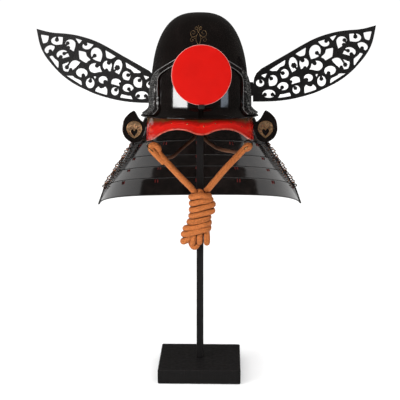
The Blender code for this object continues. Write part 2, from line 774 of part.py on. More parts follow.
def seat_bottom():
    """Height of the seat's flat underside in the helmet's frame."""
    return FLARE_HEIGHT + DOME_HEIGHT - BOWL_WALL - SEAT_DEPTH


def helmet_shift():
    """How far forward the rim lies, so that the tilted crown rests over the post."""
    return -math.sin(HELMET_TILT) * seat_bottom()


def make_seat():
    """The block on the post that fills the crown from below."""
    heights = [h for h in dome_heights() if h > seat_bottom() - FLARE_HEIGHT + 0.008]
    lowest = bowl_ring(heights[0], -BOWL_WALL - 2 * GAP)
    flat = [np.array((p[0], p[1], seat_bottom())) for p in lowest]
    rings = [flat] + [bowl_ring(h, -BOWL_WALL - 2 * GAP) for h in heights]
    stack("stand_seat", rings, MATTE_BLACK, HELMET)


def make_stand():
    bpy.ops.mesh.primitive_cube_add(size=1)
    base = bpy.context.object
    base.name = "stand_base"
    base.data.transform(base.matrix_world.inverted())
    for vertex in base.data.vertices:
        vertex.co = (vertex.co.x * BASE_WIDTH, vertex.co.y * BASE_WIDTH, (vertex.co.z + 0.5) * BASE_HEIGHT)
    bevel = base.modifiers.new("edge", "BEVEL")
    bevel.width = BASE_BEVEL
    bevel.segments = 1
    base.rotation_euler.z = STAND_TURN
    bpy.context.collection.objects.unlink(base)
    place(base, MATTE_BLACK)
    half = POST_WIDTH / 2
    under_seat = RIM_HEIGHT + seat_bottom() * math.cos(HELMET_TILT)
    top = under_seat - half * math.tan(HELMET_TILT) - GAP
    corners = [(-half, -half), (half, -half), (half, half), (-half, half)]
    rings = [[(x, y, z) for x, y in corners] for z in (BASE_HEIGHT + GAP, top)]
    post = stack("stand_post", rings, MATTE_BLACK)
    post.rotation_euler.z = STAND_TURN


def make_hank():
    """The outer form of the tied-up chin cord in front of the post."""
    rings = []
    for down, wide, deep, aside in reversed(smooth_rows(HANK_SHAPE, 2)):
        ring = []
        for k in range(HANK_AROUND):
            a = 2 * math.pi * k / HANK_AROUND
            x = HANK_WIDTH * (aside + wide / 2 * math.sin(a))
            y = hank_middle() - HANK_DEPTH * deep / 2 * math.cos(a)
            ring.append((x, y, HANK_TOP - HANK_HEIGHT * down))
        rings.append(ring)
    stack("cord_hank", rings, ORANGE_CORD)


def hank_middle():
    return -POST_WIDTH / 2 - 0.003 - HANK_DEPTH / 2


def make_cords():
    tube("cord_left", LEFT_STRAND, CORD, ORANGE_CORD)
    tube("cord_right", RIGHT_STRAND, CORD, ORANGE_CORD)
    tube("cord_rear_left", REAR_LEFT_STRAND, BACK_CORD, BROWN_CORD)
    tube("cord_rear_right", REAR_RIGHT_STRAND, BACK_CORD, BROWN_CORD)


for existing in list(bpy.data.objects):
    bpy.data.objects.remove(existing)
PART = collection("kabuto_helmet")
HELMET = bpy.data.objects.new("helmet_frame", None)
PART.objects.link(HELMET)
HELMET.location = (HELMET_ASIDE, helmet_shift(), RIM_HEIGHT)
HELMET.rotation_euler.x = -HELMET_TILT

make_stand()
make_seat()
make_bowl()
make_brow_band()
make_peak()
make_disc()
make_neck_guard()
make_turnbacks()
make_wings()
make_rings()
make_hank()
make_cords()
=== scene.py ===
"""Kabuto samurai helmet on its stand: the lacquer, gilding, lacing and cords that dress the solid part.

The helmet's own frame has its origin in the middle of the bowl's rim, with the face towards -Y.
in_world() sets it back on the stand."""

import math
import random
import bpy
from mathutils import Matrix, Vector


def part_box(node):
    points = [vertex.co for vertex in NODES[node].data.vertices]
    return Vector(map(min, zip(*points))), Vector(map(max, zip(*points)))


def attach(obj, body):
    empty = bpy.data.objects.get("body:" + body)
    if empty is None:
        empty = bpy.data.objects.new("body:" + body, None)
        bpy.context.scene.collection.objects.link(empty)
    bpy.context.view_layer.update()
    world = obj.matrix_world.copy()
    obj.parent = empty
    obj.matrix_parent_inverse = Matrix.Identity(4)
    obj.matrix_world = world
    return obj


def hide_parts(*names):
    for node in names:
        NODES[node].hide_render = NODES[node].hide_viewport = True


bl_info = {
    "name": "Kabuto on its stand",
    "version": (1, 0, 0),
    "blender": (4, 5, 0),
    "location": "View3D > Sidebar > Kabuto",
    "description": "Dresses a samurai helmet: lacquer, pierced wings, crest, laced neck guard and chin cord",
    "category": "Object",
}

import bpy
import numpy as np
from bpy.props import FloatProperty, FloatVectorProperty, IntProperty, PointerProperty
from bpy.types import Operator, Panel, PropertyGroup

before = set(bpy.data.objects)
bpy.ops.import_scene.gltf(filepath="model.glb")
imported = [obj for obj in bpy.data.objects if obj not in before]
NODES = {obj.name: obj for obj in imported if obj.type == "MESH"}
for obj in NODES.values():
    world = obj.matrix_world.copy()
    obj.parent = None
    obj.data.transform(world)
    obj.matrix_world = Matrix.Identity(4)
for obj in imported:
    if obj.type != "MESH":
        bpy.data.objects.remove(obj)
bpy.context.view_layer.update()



def tenths(*rows):
    """Rows of whole tenths of a millimetre, in metres."""
    return [tuple(value / 10000 for value in row) for row in rows]


# How the helmet sits on the stand
TILT = math.radians(4.0)
ASIDE, BACK, RIM_HEIGHT = -0.0012, -0.01245, 0.5774

# Bowl
HALF_WIDTH, HALF_LENGTH, DOME_HEIGHT = 0.104, 0.116, 0.197
PLAN_ROUNDNESS, SIDE_ROUNDNESS = 2.7, 2.6
FLARE_HEIGHT, FLARE_OUT, FLARE_CURVE = 0.020, 0.020, 1.7
BOWL_WALL = 0.0025

# Raised band: inner angle and height, outer angle and height, in degrees and shares of DOME_HEIGHT
BAND_PATH = [
    (0, 0.535, 0, 0.59), (12, 0.515, 12, 0.572), (25, 0.468, 24, 0.527), (39, 0.405, 37, 0.47),
    (50, 0.352, 50, 0.415), (55, 0.3, 63, 0.365), (55, 0.215, 74, 0.28), (54, 0.12, 82, 0.17),
    (54, 0.03, 86, 0.05), (51, -0.045, 87, -0.045), (51, -0.092, 87, -0.092),
]
BAND_LIFT, BAND_LINE = 0.0011, 0.0007
# The relief on the band: how high it reaches, and its ropes' and vines' radii
RELIEF_TOP, ROPE_RADIUS, VINE_RADIUS = 0.40, 0.0010, 0.0011
# Across the band: share of its width, share of its full height
BAND_PROFILE = [
    (0.0, 0.0), (0.02, 0.85), (0.06, 1.0), (0.1, 0.85), (0.14, 0.42), (0.3, 0.46), (0.5, 0.5), (0.7, 0.46),
    (0.86, 0.42), (0.9, 0.85), (0.94, 1.0), (0.98, 0.85), (1.0, 0.0),
]

# Brow plate
PEAK_END, PEAK_TOP, PEAK_INSET = 72, -0.0015, 0.0075
PEAK_REACH, PEAK_DROP, PEAK_WALL = 0.0345, 0.050, 0.002
PEAK_FOCUS, PEAK_CURVE = 2.2, 1.15
# The brow ridges: how far they stand out, how far down they are, and their half height
BROW_OUT, BROW_DOWN, BROW_SPREAD = 0.0035, 0.62, 0.16
# How far across and down the brow plate each rivet is
RIVETS = [(0.03, 0.52), (0.17, 0.50), (0.40, 0.42), (0.56, 0.55), (-0.17, 0.50), (-0.40, 0.42)]
PEAK_EDGE = [
    (0.0, 0.6), (0.06, 0.57), (0.14, 0.45), (0.24, 0.4), (0.36, 0.44), (0.5, 0.6), (0.66, 0.83), (0.82, 0.95),
    (1.0, 1.0),
]

# Crest
DISC_RADIUS, DISC_WALL, DISC_FACE, DISC_FOOT = 0.060, 0.003, -0.161, 0.0282

WING_WALL = 0.003

# Neck guard
LAMES, LAME_WALL, LAME_SLANT, LAME_OVERLAP = 5, 0.002, 1.45, 0.2
LAME_STEP = (LAME_WALL * LAME_SLANT + 0.0003) * (1 + LAME_OVERLAP)
GUARD_HALF_WIDTH, GUARD_WIDENS = 0.113, 0.1055
GUARD_HALF_LENGTH, GUARD_LENGTHENS = 0.125, 0.130
GUARD_TOP, GUARD_DEPTH, GUARD_DROOP = -0.0039, 0.1929, 0.014
GUARD_FRONT, GUARD_FRONT_BACK = 0.030, 0.018
# Level, share of the depth, widening, lengthening and droop
GUARD_LEVELS = [
    (0, 0.0, 0.0, 0.0, 0.0), (1, 0.361, 0.318, 0.231, 0.0), (2, 0.528, 0.509, 0.442, 0.2),
    (3, 0.668, 0.673, 0.654, 0.35), (4, 0.808, 0.845, 0.827, 0.52), (5, 1.0, 1.0, 1.0, 1.0),
]

# Turnbacks, in hundredths of their height, and plaques, as half width and height in hundredths
TURNBACK_HEIGHT, TURNBACK_WALL, TURNBACK_ACROSS = 0.0676, 0.0025, 0.1385
TURNBACK_FRONT, TURNBACK_DROP = -0.0328, 0.0280
TURNBACK_RIM = 0.955
TURNBACK_EDGE = [
    (2, 58), (15, 50), (27, 38), (34, 25), (37, 6), (36, -10), (29, -25), (17, -36), (3, -42), (-9, -41),
    (-21, -36), (-29, -23), (-35, -6), (-39, 11), (-29, 21), (-16, 33), (-9, 44), (-3, 55),
]
PLAQUE_HEIGHT, PLAQUE_WALL = 0.0370, 0.0014
PLAQUE_EDGE = [(0, 48), (20, 44), (37, 30), (44, 8), (41, -10), (29, -30), (12, -45), (0, -50)]
HEART_WIDTH, HEART_DROP = 0.016, 0.0055
PETALS, PETAL_WIDTH, PETAL_RISE = 9, 0.0027, 0.0009

# Rings that the cords pass through, in world coordinates, and the radius to the middle of the wire
RINGS = {
    "left": (-0.1042, -0.0302, 0.5158),
    "right": (0.1018, -0.0302, 0.5158),
    "back": (-0.0012, 0.1155, 0.5411),
}
RING_RADIUS, RING_WIRE = 0.009, 0.0015

# A brass hoop round the cord's bend at each outer ring, in world coordinates: its middle, and how far it leans
CLASPS = {"left": ((-0.1045, -0.0430, 0.5080), -0.85), "right": ((0.0975, -0.0365, 0.5115), 0.9)}
CLASP_RADIUS, CLASP_WIRE = 0.0079, 0.0012

# The cords' ways in world coordinates. The chin cord's goes from the left tail down the left strand, through the
# hank's bights and wraps and its last turn, and up the right strand
LEFT_TAIL = tenths(
    (-775, -360, 4790), (-905, -390, 4925), (-1010, -430, 5045), (-1060, -430, 5120), (-1015, -430, 5185),
    (-930, -440, 5160), (-890, -400, 5075), (-950, -280, 5020), (-1035, -255, 5095), (-1030, -295, 5165),
)
LEFT_STRAND = tenths(
    (-965, -335, 5120), (-861, -370, 4960), (-628, -350, 4690), (-372, -340, 4410), (-250, -330, 4290),
    (-185, -325, 4215),
)
HANK_PATH = tenths(
    (-130, -330, 4140), (-100, -340, 4050), (-100, -350, 3850), (-115, -370, 3450), (-160, -440, 3160),
    (-170, -415, 3055), (-170, -345, 3015), (-170, -275, 3055), (-165, -245, 3150), (-100, -260, 3450),
    (-90, -250, 3850), (-50, -260, 4090), (-10, -320, 4150), (30, -330, 4060), (0, -340, 3850),
    (0, -360, 3450), (-22, -445, 3180), (-25, -420, 3075), (-25, -345, 3035), (-25, -270, 3075),
    (-25, -245, 3180), (0, -260, 3450), (0, -255, 3850), (40, -290, 4030), (90, -340, 3850),
    (115, -370, 3450), (138, -445, 3170), (138, -415, 3060), (138, -345, 3020), (138, -275, 3060),
    (138, -245, 3170), (80, -220, 3300), (-40, -220, 3200), (-60, -310, 3030), (-85, -340, 2955),
    (-125, -345, 2915), (-165, -340, 2950), (-200, -310, 3030), (-220, -270, 3120), (-320, -280, 3080),
    (-385, -350, 3055), (-330, -420, 3080), (-240, -430, 3150), (-120, -360, 3280), (40, -290, 3340),
    (140, -240, 3360), (0, -185, 3300), (-180, -185, 3240), (-325, -270, 3215), (-365, -360, 3215),
    (-265, -455, 3245), (-80, -480, 3300), (60, -480, 3335), (160, -400, 3345), (170, -310, 3370),
    (100, -185, 3390), (-100, -172, 3370), (-230, -240, 3340),
)
# The wraps round the hank: their heights at the left, front middle and right, and how far out they go left and right
HANK_WRAPS = tenths(
    (3350, 3425, 3465, 312, 190), (3490, 3545, 3585, 228, 180), (3625, 3680, 3730, 190, 258),
    (3757, 3810, 3870, 182, 268), (3900, 3960, 3970, 180, 222), (4040, 4095, 4050, 190, 188),
)
# The hank's middle across, and how far back and forward its wraps go
HANK_MIDDLE = -0.00075, -0.0175, -0.0465
# The spacing of the chin cord's points, and how many times they are evened out
CORD_STEP, CORD_SMOOTHING = 0.0015, 12
HANK_TOP_TURN = tenths((80, -200, 4090), (140, -260, 4160))
RIGHT_STRAND = tenths(
    (195, -315, 4235), (245, -330, 4300), (335, -340, 4410), (527, -340, 4640), (803, -330, 4930),
    (938, -340, 5075), (1015, -390, 5165), (1050, -330, 5125), (1000, -260, 5065), (920, -265, 5060),
)
REAR_STRAND = tenths(
    (-776, -250, 4872), (-700, -140, 4860), (-585, 0, 4865), (-365, 580, 4970), (-120, 990, 5110),
    (-70, 1130, 5200), (-55, 1180, 5298), (-12, 1190, 5330), (31, 1180, 5298), (50, 1130, 5200),
    (110, 990, 5110), (350, 500, 4985), (520, 200, 4965), (720, 0, 4960), (815, -248, 4972),
)


# ---------------------------------------------------------------- settings


def colour(name, description, default):
    return FloatVectorProperty(
        name=name, description=description, default=default, size=4, min=0, max=1, subtype="COLOR"
    )


def length(name, description, default, low, high):
    return FloatProperty(
        name=name, description=description, default=default, min=low, max=high, subtype="DISTANCE", unit="LENGTH"
    )


def brightness(name, description, default):
    return FloatProperty(name=name, description=description, default=default, min=0, max=40)


class KabutoFinishes(PropertyGroup):
    bowl: colour("Bowl lacquer", "Near-black lacquer of the bowl and the neck guard", (0.0052, 0.0036, 0.0032, 1))
    brow: colour("Brow lacquer", "Glossy red lacquer of the brow plate", (0.52, 0.010, 0.006, 1))
    crest: colour("Crest red", "Plain red of the round crest", (0.54, 0.0045, 0.002, 1))
    # The pale crest edge is a painted highlight along the disc's rounded rim
    edge: colour("Crest edge", "Pale edge of the round crest", (0.75, 0.38, 0.34, 1))
    gilt: colour("Gilt", "Worn gilding of the plaques", (0.60, 0.36, 0.18, 1))
    # The relief's iron is partly its own mottled tone and partly painted glints in its brightest specks
    iron: colour("Iron", "Bright iron of the band's relief", (0.20, 0.195, 0.19, 1))
    wing: colour("Wing black", "Flat black of the wings and the stand", (0.012, 0.011, 0.011, 1))
    cord: colour("Chin cord", "Braided tan cord", (0.47, 0.142, 0.036, 1))
    # The rear cord stands for the tan chin cord in shadow behind the bowl; its dark brown is painted shade
    rear_cord: colour("Rear cord", "Braided dark brown cord", (0.15, 0.062, 0.030, 1))
    lacing: colour("Lacing", "Dark red lacing of the neck guard", (0.16, 0.012, 0.010, 1))
    edging: colour("Edging", "Tan lacing at the guard's front ends", (0.36, 0.16, 0.07, 1))


class KabutoCords(PropertyGroup):
    chin: length("Chin cord", "Thickness of the chin cord", 0.014, 0.006, 0.02)
    rear: length("Rear cord", "Thickness of the cord to the back ring", 0.008, 0.004, 0.012)
    pitch: length("Braid pitch", "Length of one crossing of the braid", 0.0075, 0.004, 0.03)
    relief: length("Braid relief", "Height of the braid's strands", 0.0004, 0.0, 0.001)


class KabutoHelmet(PropertyGroup):
    band: length("Band height", "How far the brow band's edges stand proud", 0.0032, 0.001, 0.005)
    bead: length("Bead", "Radius of the bead round the bowl's rim", 0.0014, 0.0005, 0.003)
    rivet: length("Rivet", "Radius of the rivet heads on the brow plate", 0.0017, 0.0008, 0.003)
    strip: length("Lacing width", "Width of one strip of lacing", 0.0034, 0.001, 0.006)
    pair: length("Pair spacing", "Distance between the two strips of a pair", 0.0064, 0.003, 0.012)
    columns: IntProperty(name="Columns", description="Pairs of lacing across a lame", default=7, min=3, max=15)


class KabutoStudio(PropertyGroup):
    floor: colour("Floor", "Plain floor", (0.93, 0.93, 0.93, 1))
    soft_box: brightness("Soft box", "Brightness of the box at the left", 14.0)
    gleam: brightness("Gleam", "Brightness of the floor behind, as gloss shows it", 0.8)
    fill: brightness("Fill", "Brightness of the wide light above", 3.2)


def settings():
    return bpy.context.scene.kabuto


class KabutoSettings(PropertyGroup):
    finishes: PointerProperty(type=KabutoFinishes)
    cords: PointerProperty(type=KabutoCords)
    helmet: PointerProperty(type=KabutoHelmet)
    studio: PointerProperty(type=KabutoStudio)


# ---------------------------------------------------------------- finishes


class Finish:
    """A material whose nodes are laid out from its shader outwards."""

    def __init__(self, name, **sockets):
        self.material = bpy.data.materials.new(name)
        self.material.use_nodes = True
        self.tree = self.material.node_tree
        self.shader = self.tree.nodes["Principled BSDF"]
        for socket, value in sockets.items():
            self.shader.inputs[socket.replace("_", " ")].default_value = value
        self.place = self.node("TexCoord").outputs["Object"]

    def node(self, kind, **values):
        made = self.tree.nodes.new("ShaderNode" + kind)
        made.location = (-220 * len(self.tree.nodes), 0)
        for name, value in values.items():
            setattr(made, name, value)
        return made

    def link(self, source, socket):
        self.tree.links.new(source, socket)

    def noise(self, scale, detail, stretch=(1, 1, 1)):
        """Clouded noise over the piece, with so many clouds to a metre."""
        mapping = self.node("Mapping")
        mapping.inputs["Scale"].default_value = stretch
        self.link(self.place, mapping.inputs["Vector"])
        made = self.node("TexNoise")
        made.inputs["Scale"].default_value = scale
        made.inputs["Detail"].default_value = detail
        self.link(mapping.outputs["Vector"], made.inputs["Vector"])
        return made.outputs["Fac"]

    def rim_wear(self):
        """The height up the piece's chart with noise added, which the brow lacquer's tones turn into painted shade
        and reflection under its rim and a painted highlight along its ridge.
        """
        parts = self.node("SeparateXYZ")
        self.link(self.node("TexCoord").outputs["UV"], parts.inputs["Vector"])
        shaken = self.node("Math", operation="MULTIPLY_ADD")
        self.link(self.noise(70, 5), shaken.inputs[0])
        shaken.inputs[1].default_value = 0.34
        self.link(parts.outputs["Y"], shaken.inputs[2])
        return shaken.outputs["Value"]

    def ramp(self, source, *stops):
        made = self.node("ValToRGB")
        marks = made.color_ramp.elements
        while len(marks) < len(stops):
            marks.new(0.5)
        for mark, (position, value) in zip(marks, stops):
            mark.position = position
            mark.color = value if hasattr(value, "__len__") else (value, value, value, 1)
        self.link(source, made.inputs["Fac"])
        return made.outputs["Color"]

    def colours(self, source, *stops):
        self.link(self.ramp(source, *stops), self.shader.inputs["Base Color"])

    def bump(self, source, height):
        made = self.node("Bump")
        made.inputs["Distance"].default_value = height
        self.link(source, made.inputs["Height"])
        normal = self.shader.inputs["Normal"]
        if normal.links:
            self.link(normal.links[0].from_socket, made.inputs["Normal"])
        self.link(made.outputs["Normal"], normal)


# Noise of its own kind: the height up a chart, for painted shade under a rim and a painted highlight along a ridge,
# and a grain along X
HEIGHT_SHADING, GRAIN = "rim wear", (14, 1, 1)
# How each mottled finish is made: a base colour; noise (scale, detail) and tones (position, share of the base);
# noise and stops of the gloss; bumps (height, noise); and the shader's own values
FINISHES = {
    "bowl_lacquer": dict(
        base="bowl",
        tones=((34, 4), (0.3, 0.7), (0.55, 1), (0.75, 1.7)),
        gloss=((60, 5), (0.35, 0.07), (0.65, 0.12)),
        bumps=((0.00003, 420, 2), (0.0003, 26, 2)),
        shader=dict(Roughness=0.1, Coat_Weight=0.5, Coat_Roughness=0.04),
    ),
    "guard_lacquer": dict(
        base="bowl",
        tones=((55, 5), (0.3, 1), (0.5, 1.6), (0.72, 3.2)),
        gloss=((90, 5), (0.3, 0.07), (0.7, 0.14)),
        bumps=((0.00003, 300, 3), (0.0002, 38, 2)),
        shader=dict(Roughness=0.16, Coat_Weight=0.3, Coat_Roughness=0.08),
    ),
    "brow_lacquer": dict(
        base="brow",
        # the lighter band at 0.60 is a painted highlight on the brow ridge, and the olive-brown band from 0.82 up is
        # painted shade and reflection under the bowl's rim
        tones=(
            HEIGHT_SHADING, (0.22, 0.9), (0.52, 1), (0.60, 1.3), (0.70, 0.85), (0.82, 0.5), (0.91, (0.30, 2.6, 1.4)),
            (1.0, (0.14, 3.4, 1.8)),
        ),
        gloss=((80, 4), (0.35, 0.10), (0.65, 0.20)),
        bumps=((0.0006, 95, 3),),
        shader=dict(Roughness=0.1, Specular_IOR_Level=0.3, Coat_Weight=0.4, Coat_Roughness=0.03),
    ),
    "brow_edge": dict(
        tones=((120, 4), (0.3, (0.30, 0.03, 0.02)), (0.7, (0.62, 0.10, 0.06))),
        bumps=((0.00005, 500, 3),),
        shader=dict(Roughness=0.22, Coat_Weight=1.0, Coat_Roughness=0.05),
    ),
    "crest_red": dict(
        base="crest",
        tones=((30, 5), (0.3, 0.93), (0.6, 1), (0.8, 1.06)),
        gloss=((70, 4), (0.3, 0.36), (0.7, 0.48)),
        bumps=((0.00003, 500, 3),),
        shader=dict(Roughness=0.4, Specular_IOR_Level=0.12),
    ),
    # a painted highlight along the crest's rounded rim
    "crest_edge": dict(
        base="edge",
        tones=((160, 4), (0.3, 0.8), (0.6, 1), (0.8, 1.2)),
        bumps=((0.00005, 700, 3),),
        shader=dict(Roughness=0.45),
    ),
    "worn_gilt": dict(
        base="gilt",
        tones=((160, 6), (0.28, (0.32, 0.22, 0.18)), (0.46, 0.75), (0.68, 1.2)),
        gloss=((240, 4), (0.3, 0.26), (0.7, 0.5)),
        bumps=((0.00012, 620, 4),),
        shader=dict(Roughness=0.34, Metallic=0.85),
    ),
    "dark_gilt": dict(
        base="gilt",
        tones=((190, 6), (0.3, 0.12), (0.5, 0.34), (0.72, 0.85)),
        bumps=((0.00014, 620, 4),),
        shader=dict(Roughness=0.5, Metallic=0.35),
    ),
    "scroll_gilt": dict(
        tones=((260, 4), (0.3, (0.07, 0.04, 0.02)), (0.6, (0.30, 0.19, 0.09))),
        bumps=((0.00004, 900, 3),),
        shader=dict(Roughness=0.4, Metallic=0.6),
    ),
    "relief_iron": dict(
        base="iron",
        # mottled tone whose brightest specks, at 2.6 times the iron, are painted glints
        tones=((420, 6), (0.40, 0.08), (0.54, 0.35), (0.66, 2.6)),
        gloss=((350, 4), (0.3, 0.22), (0.7, 0.5)),
        bumps=((0.0006, 520, 4),),
        shader=dict(Roughness=0.32, Metallic=0.55),
    ),
    "leaf_iron": dict(
        base="iron",
        # mottled tone whose brightest specks, at 4 times the iron, are painted glints on the ropes and vines
        tones=((330, 6), (0.40, 0.15), (0.52, 1.2), (0.62, 4.0)),
        bumps=((0.0002, 900, 4),),
        shader=dict(Roughness=0.35, Metallic=0.6),
    ),
    "flat_black": dict(
        base="wing",
        tones=((70, 5), (0.3, 0.7), (0.55, 1), (0.8, 1.5)),
        gloss=((140, 4), (0.3, 0.48), (0.7, 0.66)),
        bumps=((0.00005, 900, 3),),
        shader=dict(Roughness=0.55, Specular_IOR_Level=0.35),
    ),
    "stand_black": dict(
        base="wing",
        tones=((40, 5, GRAIN), (0.3, 0.7), (0.6, 1), (0.8, 1.6)),
        gloss=((120, 4), (0.3, 0.3), (0.7, 0.5)),
        bumps=((0.00012, 40, 5, GRAIN),),
        shader=dict(Roughness=0.5, Specular_IOR_Level=0.4),
    ),
    "ring_iron": dict(
        tones=((500, 4), (0.3, (0.05, 0.04, 0.035)), (0.7, (0.30, 0.24, 0.17))),
        bumps=((0.00006, 900, 3),),
        shader=dict(Roughness=0.3, Metallic=0.9),
    ),
    "rivet_brass": dict(
        tones=((600, 4), (0.3, (0.35, 0.22, 0.08)), (0.7, (0.75, 0.55, 0.26))),
        bumps=((0.00005, 900, 3),),
        shader=dict(Roughness=0.25, Metallic=0.9),
    ),
    "edge_line": dict(
        tones=((300, 4), (0.3, (0.16, 0.15, 0.15)), (0.7, (0.42, 0.41, 0.40))),
        bumps=((0.00005, 700, 3),),
        shader=dict(Roughness=0.3, Metallic=0.4),
    ),
    # thin pale lines along each lame's lower edge: painted highlights
    "lame_line": dict(
        tones=((300, 4), (0.3, (0.035, 0.034, 0.034)), (0.7, (0.12, 0.115, 0.11))),
        bumps=((0.00005, 700, 3),),
        shader=dict(Roughness=0.3, Metallic=0.3),
    ),
    "studio_floor": dict(
        of="studio",
        base="floor",
        tones=((3, 2), (0.3, 0.995), (0.7, 1)),
        shader=dict(
            Roughness=0.9, Specular_IOR_Level=0.0, Emission_Color=(1, 1, 1, 1), Emission_Strength=0.18,
        ),
    ),
}
# Braided finishes: the base colour and how dark it is
BRAIDS = {
    "tan_braid": ("cord", 1),
    # the rear cord's dark brown is painted shade on the chin cord's far stretch
    "brown_braid": ("rear_cord", 1),
    "red_lacing": ("lacing", 1),
    "tan_lacing": ("edging", 1),
    # a tenth of the edging's tan: painted shade on the edging's loops and tails
    "brown_lacing": ("edging", 0.10),
}


def shade(rgba, amount):
    """A colour made lighter or darker by that factor, or by a factor for each of its channels."""
    amounts = amount if hasattr(amount, "__len__") else (amount,) * 3
    return (*(min(1.0, c * share) for c, share in zip(rgba, amounts)), 1.0)


def finish(name):
    """The finish of that name, made the first time it is asked for."""
    found = bpy.data.materials.get(name)
    if found:
        return found
    if name in BRAIDS:
        base, amount = BRAIDS[name]
        return braided(name, shade(getattr(settings().finishes, base), amount))
    return mottled(name, **FINISHES[name])


def mottled(name, tones, shader, base=None, of="finishes", gloss=None, bumps=()):
    """Lacquer, metal or wood whose colour and gloss wander."""
    made = Finish(name, **shader)
    base = getattr(getattr(settings(), of), base) if base else (1, 1, 1)
    clouds, *tones = tones
    source = made.rim_wear() if clouds == HEIGHT_SHADING else made.noise(*clouds)
    made.colours(source, *((position, shade(base, amount)) for position, amount in tones))
    if gloss:
        clouds, *stops = gloss
        made.link(made.ramp(made.noise(*clouds), *stops), made.shader.inputs["Roughness"])
    for height, *clouds in bumps:
        made.bump(made.noise(*clouds), height)
    return made.material


def braided(name, base):
    """Braided silk: strands that cross at a slant over the cord, and painted shade where cord lies against cord."""
    made = Finish(name, Roughness=0.8, Specular_IOR_Level=0.25, Sheen_Weight=0.04, Sheen_Roughness=0.4)
    strands = made.node("TexWave", wave_type="BANDS", bands_direction="DIAGONAL")
    strands.inputs["Scale"].default_value = 1.0
    strands.inputs["Distortion"].default_value = 0.6
    strands.inputs["Detail"].default_value = 2
    made.link(made.node("TexCoord").outputs["UV"], strands.inputs["Vector"])
    worn = made.ramp(made.noise(420, 6), (0.3, shade(base, 0.62)), (0.5, base), (0.7, shade(base, 1.35)))
    # an ambient occlusion node darkens the colour where cord lies against cord: painted shade in the creases between
    # the wraps
    nearby = made.node("AmbientOcclusion", samples=12)
    nearby.inputs["Distance"].default_value = 0.004
    crevice_shade = made.ramp(nearby.outputs["AO"], (0.42, (0.07, 0.045, 0.035, 1)), (0.78, (1, 1, 1, 1)))
    mixed = made.node("Mix", data_type="RGBA", blend_type="MULTIPLY")
    # by number, because the sockets of a colour mix share their names with the others
    factor, first, second, result = mixed.inputs[0], mixed.inputs[6], mixed.inputs[7], mixed.outputs[2]
    factor.default_value = 1.0
    made.link(worn, first)
    made.link(crevice_shade, second)
    made.link(result, made.shader.inputs["Base Color"])
    made.bump(strands.outputs["Fac"], 0.0003)
    made.bump(made.noise(1500, 3), 0.00025)
    return made.material


# ---------------------------------------------------------------- shapes

# Faces that meet at more than this angle have an edge, in degrees
EDGE_ANGLE = 35


def in_world(points):
    """Points of the helmet's own frame, set back on the stand."""
    x, y, z = np.asarray(points, float).reshape(-1, 3).T
    c, s = math.cos(TILT), math.sin(TILT)
    return np.column_stack((x + ASIDE, y * c + z * s + BACK, -y * s + z * c + RIM_HEIGHT))


def in_helmet(points):
    """World points in the helmet's own frame."""
    x, y, z = np.asarray(points, float).reshape(-1, 3).T
    y, z = y - BACK, z - RIM_HEIGHT
    c, s = math.cos(TILT), math.sin(TILT)
    return np.column_stack((x - ASIDE, y * c - z * s, y * s + z * c))


def smooth_rows(rows, steps, closed=False):
    """Rows of numbers on a smooth curve through the given rows, with that many steps to a span."""
    rows = [np.array(row, float) for row in rows]
    count = len(rows)

    def row(k):
        return rows[k % count] if closed else rows[max(0, min(count - 1, k))]

    found = []
    for k in range(count if closed else count - 1):
        a, b, c, d = (row(k + n) for n in (-1, 0, 1, 2))
        for step in range(steps):
            t = step / steps
            cubic = (3 * b - a - 3 * c + d) * t**3
            found.append(0.5 * (2 * b + (c - a) * t + (2 * a - 5 * b + 4 * c - d) * t**2 + cubic))
    if not closed:
        found.append(row(count - 1))
    return np.array(found)


def evenly(line, step):
    """The same line with points evenly spaced, about that far apart."""
    line = np.asarray(line, float)
    along = np.concatenate(([0], np.cumsum(np.linalg.norm(np.diff(line, axis=0), axis=1))))
    count = max(2, round(along[-1] / step) + 1)
    at = np.linspace(0, along[-1], count)
    return np.column_stack([np.interp(at, along, column) for column in line.T])


def grid_faces(rows, columns, ring=False, loop=False, start=0):
    """Quads of a grid stored row by row. ring joins each row's ends and loop joins the last row to the first."""
    found = []
    for i in range(rows if loop else rows - 1):
        low, high = start + i * columns, start + (i + 1) % rows * columns
        for j in range(columns if ring else columns - 1):
            k = (j + 1) % columns
            found.append((low + j, low + k, high + k, high + j))
    return found


def tube_faces(count, sides, closed=False):
    """The faces of rings of points joined into a tube, with its two ends if it isn't closed on itself."""
    found = [face[::-1] for face in grid_faces(count, sides, ring=True, loop=closed)]
    if not closed:
        found.append(tuple(range(sides)))
        found.append(tuple(reversed(range((count - 1) * sides, count * sides))))
    return found


def circle(centre, right, up, count, lean=0.0):
    """Points round a centre, from its right on towards its up, which may lag by an angle."""
    turns = np.linspace(0, 2 * math.pi, count + 1)[:-1]
    right, up = np.asarray(right, float), np.asarray(up, float)
    return [np.asarray(centre, float) + right * math.cos(t) + up * math.sin(t + lean) for t in turns]


def placed(mesh, name, looks, sharp, replaces):
    """A mesh made into a piece that rides on the part, with its finishes and the nodes it stands for."""
    for look in looks:
        mesh.materials.append(finish(look))
    mesh.shade_smooth()
    mesh.set_sharp_from_angle(angle=math.radians(sharp))
    obj = bpy.data.objects.new(name, mesh)
    bpy.context.scene.collection.objects.link(obj)
    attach(obj, "root")
    if replaces:
        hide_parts(*replaces)
    return obj


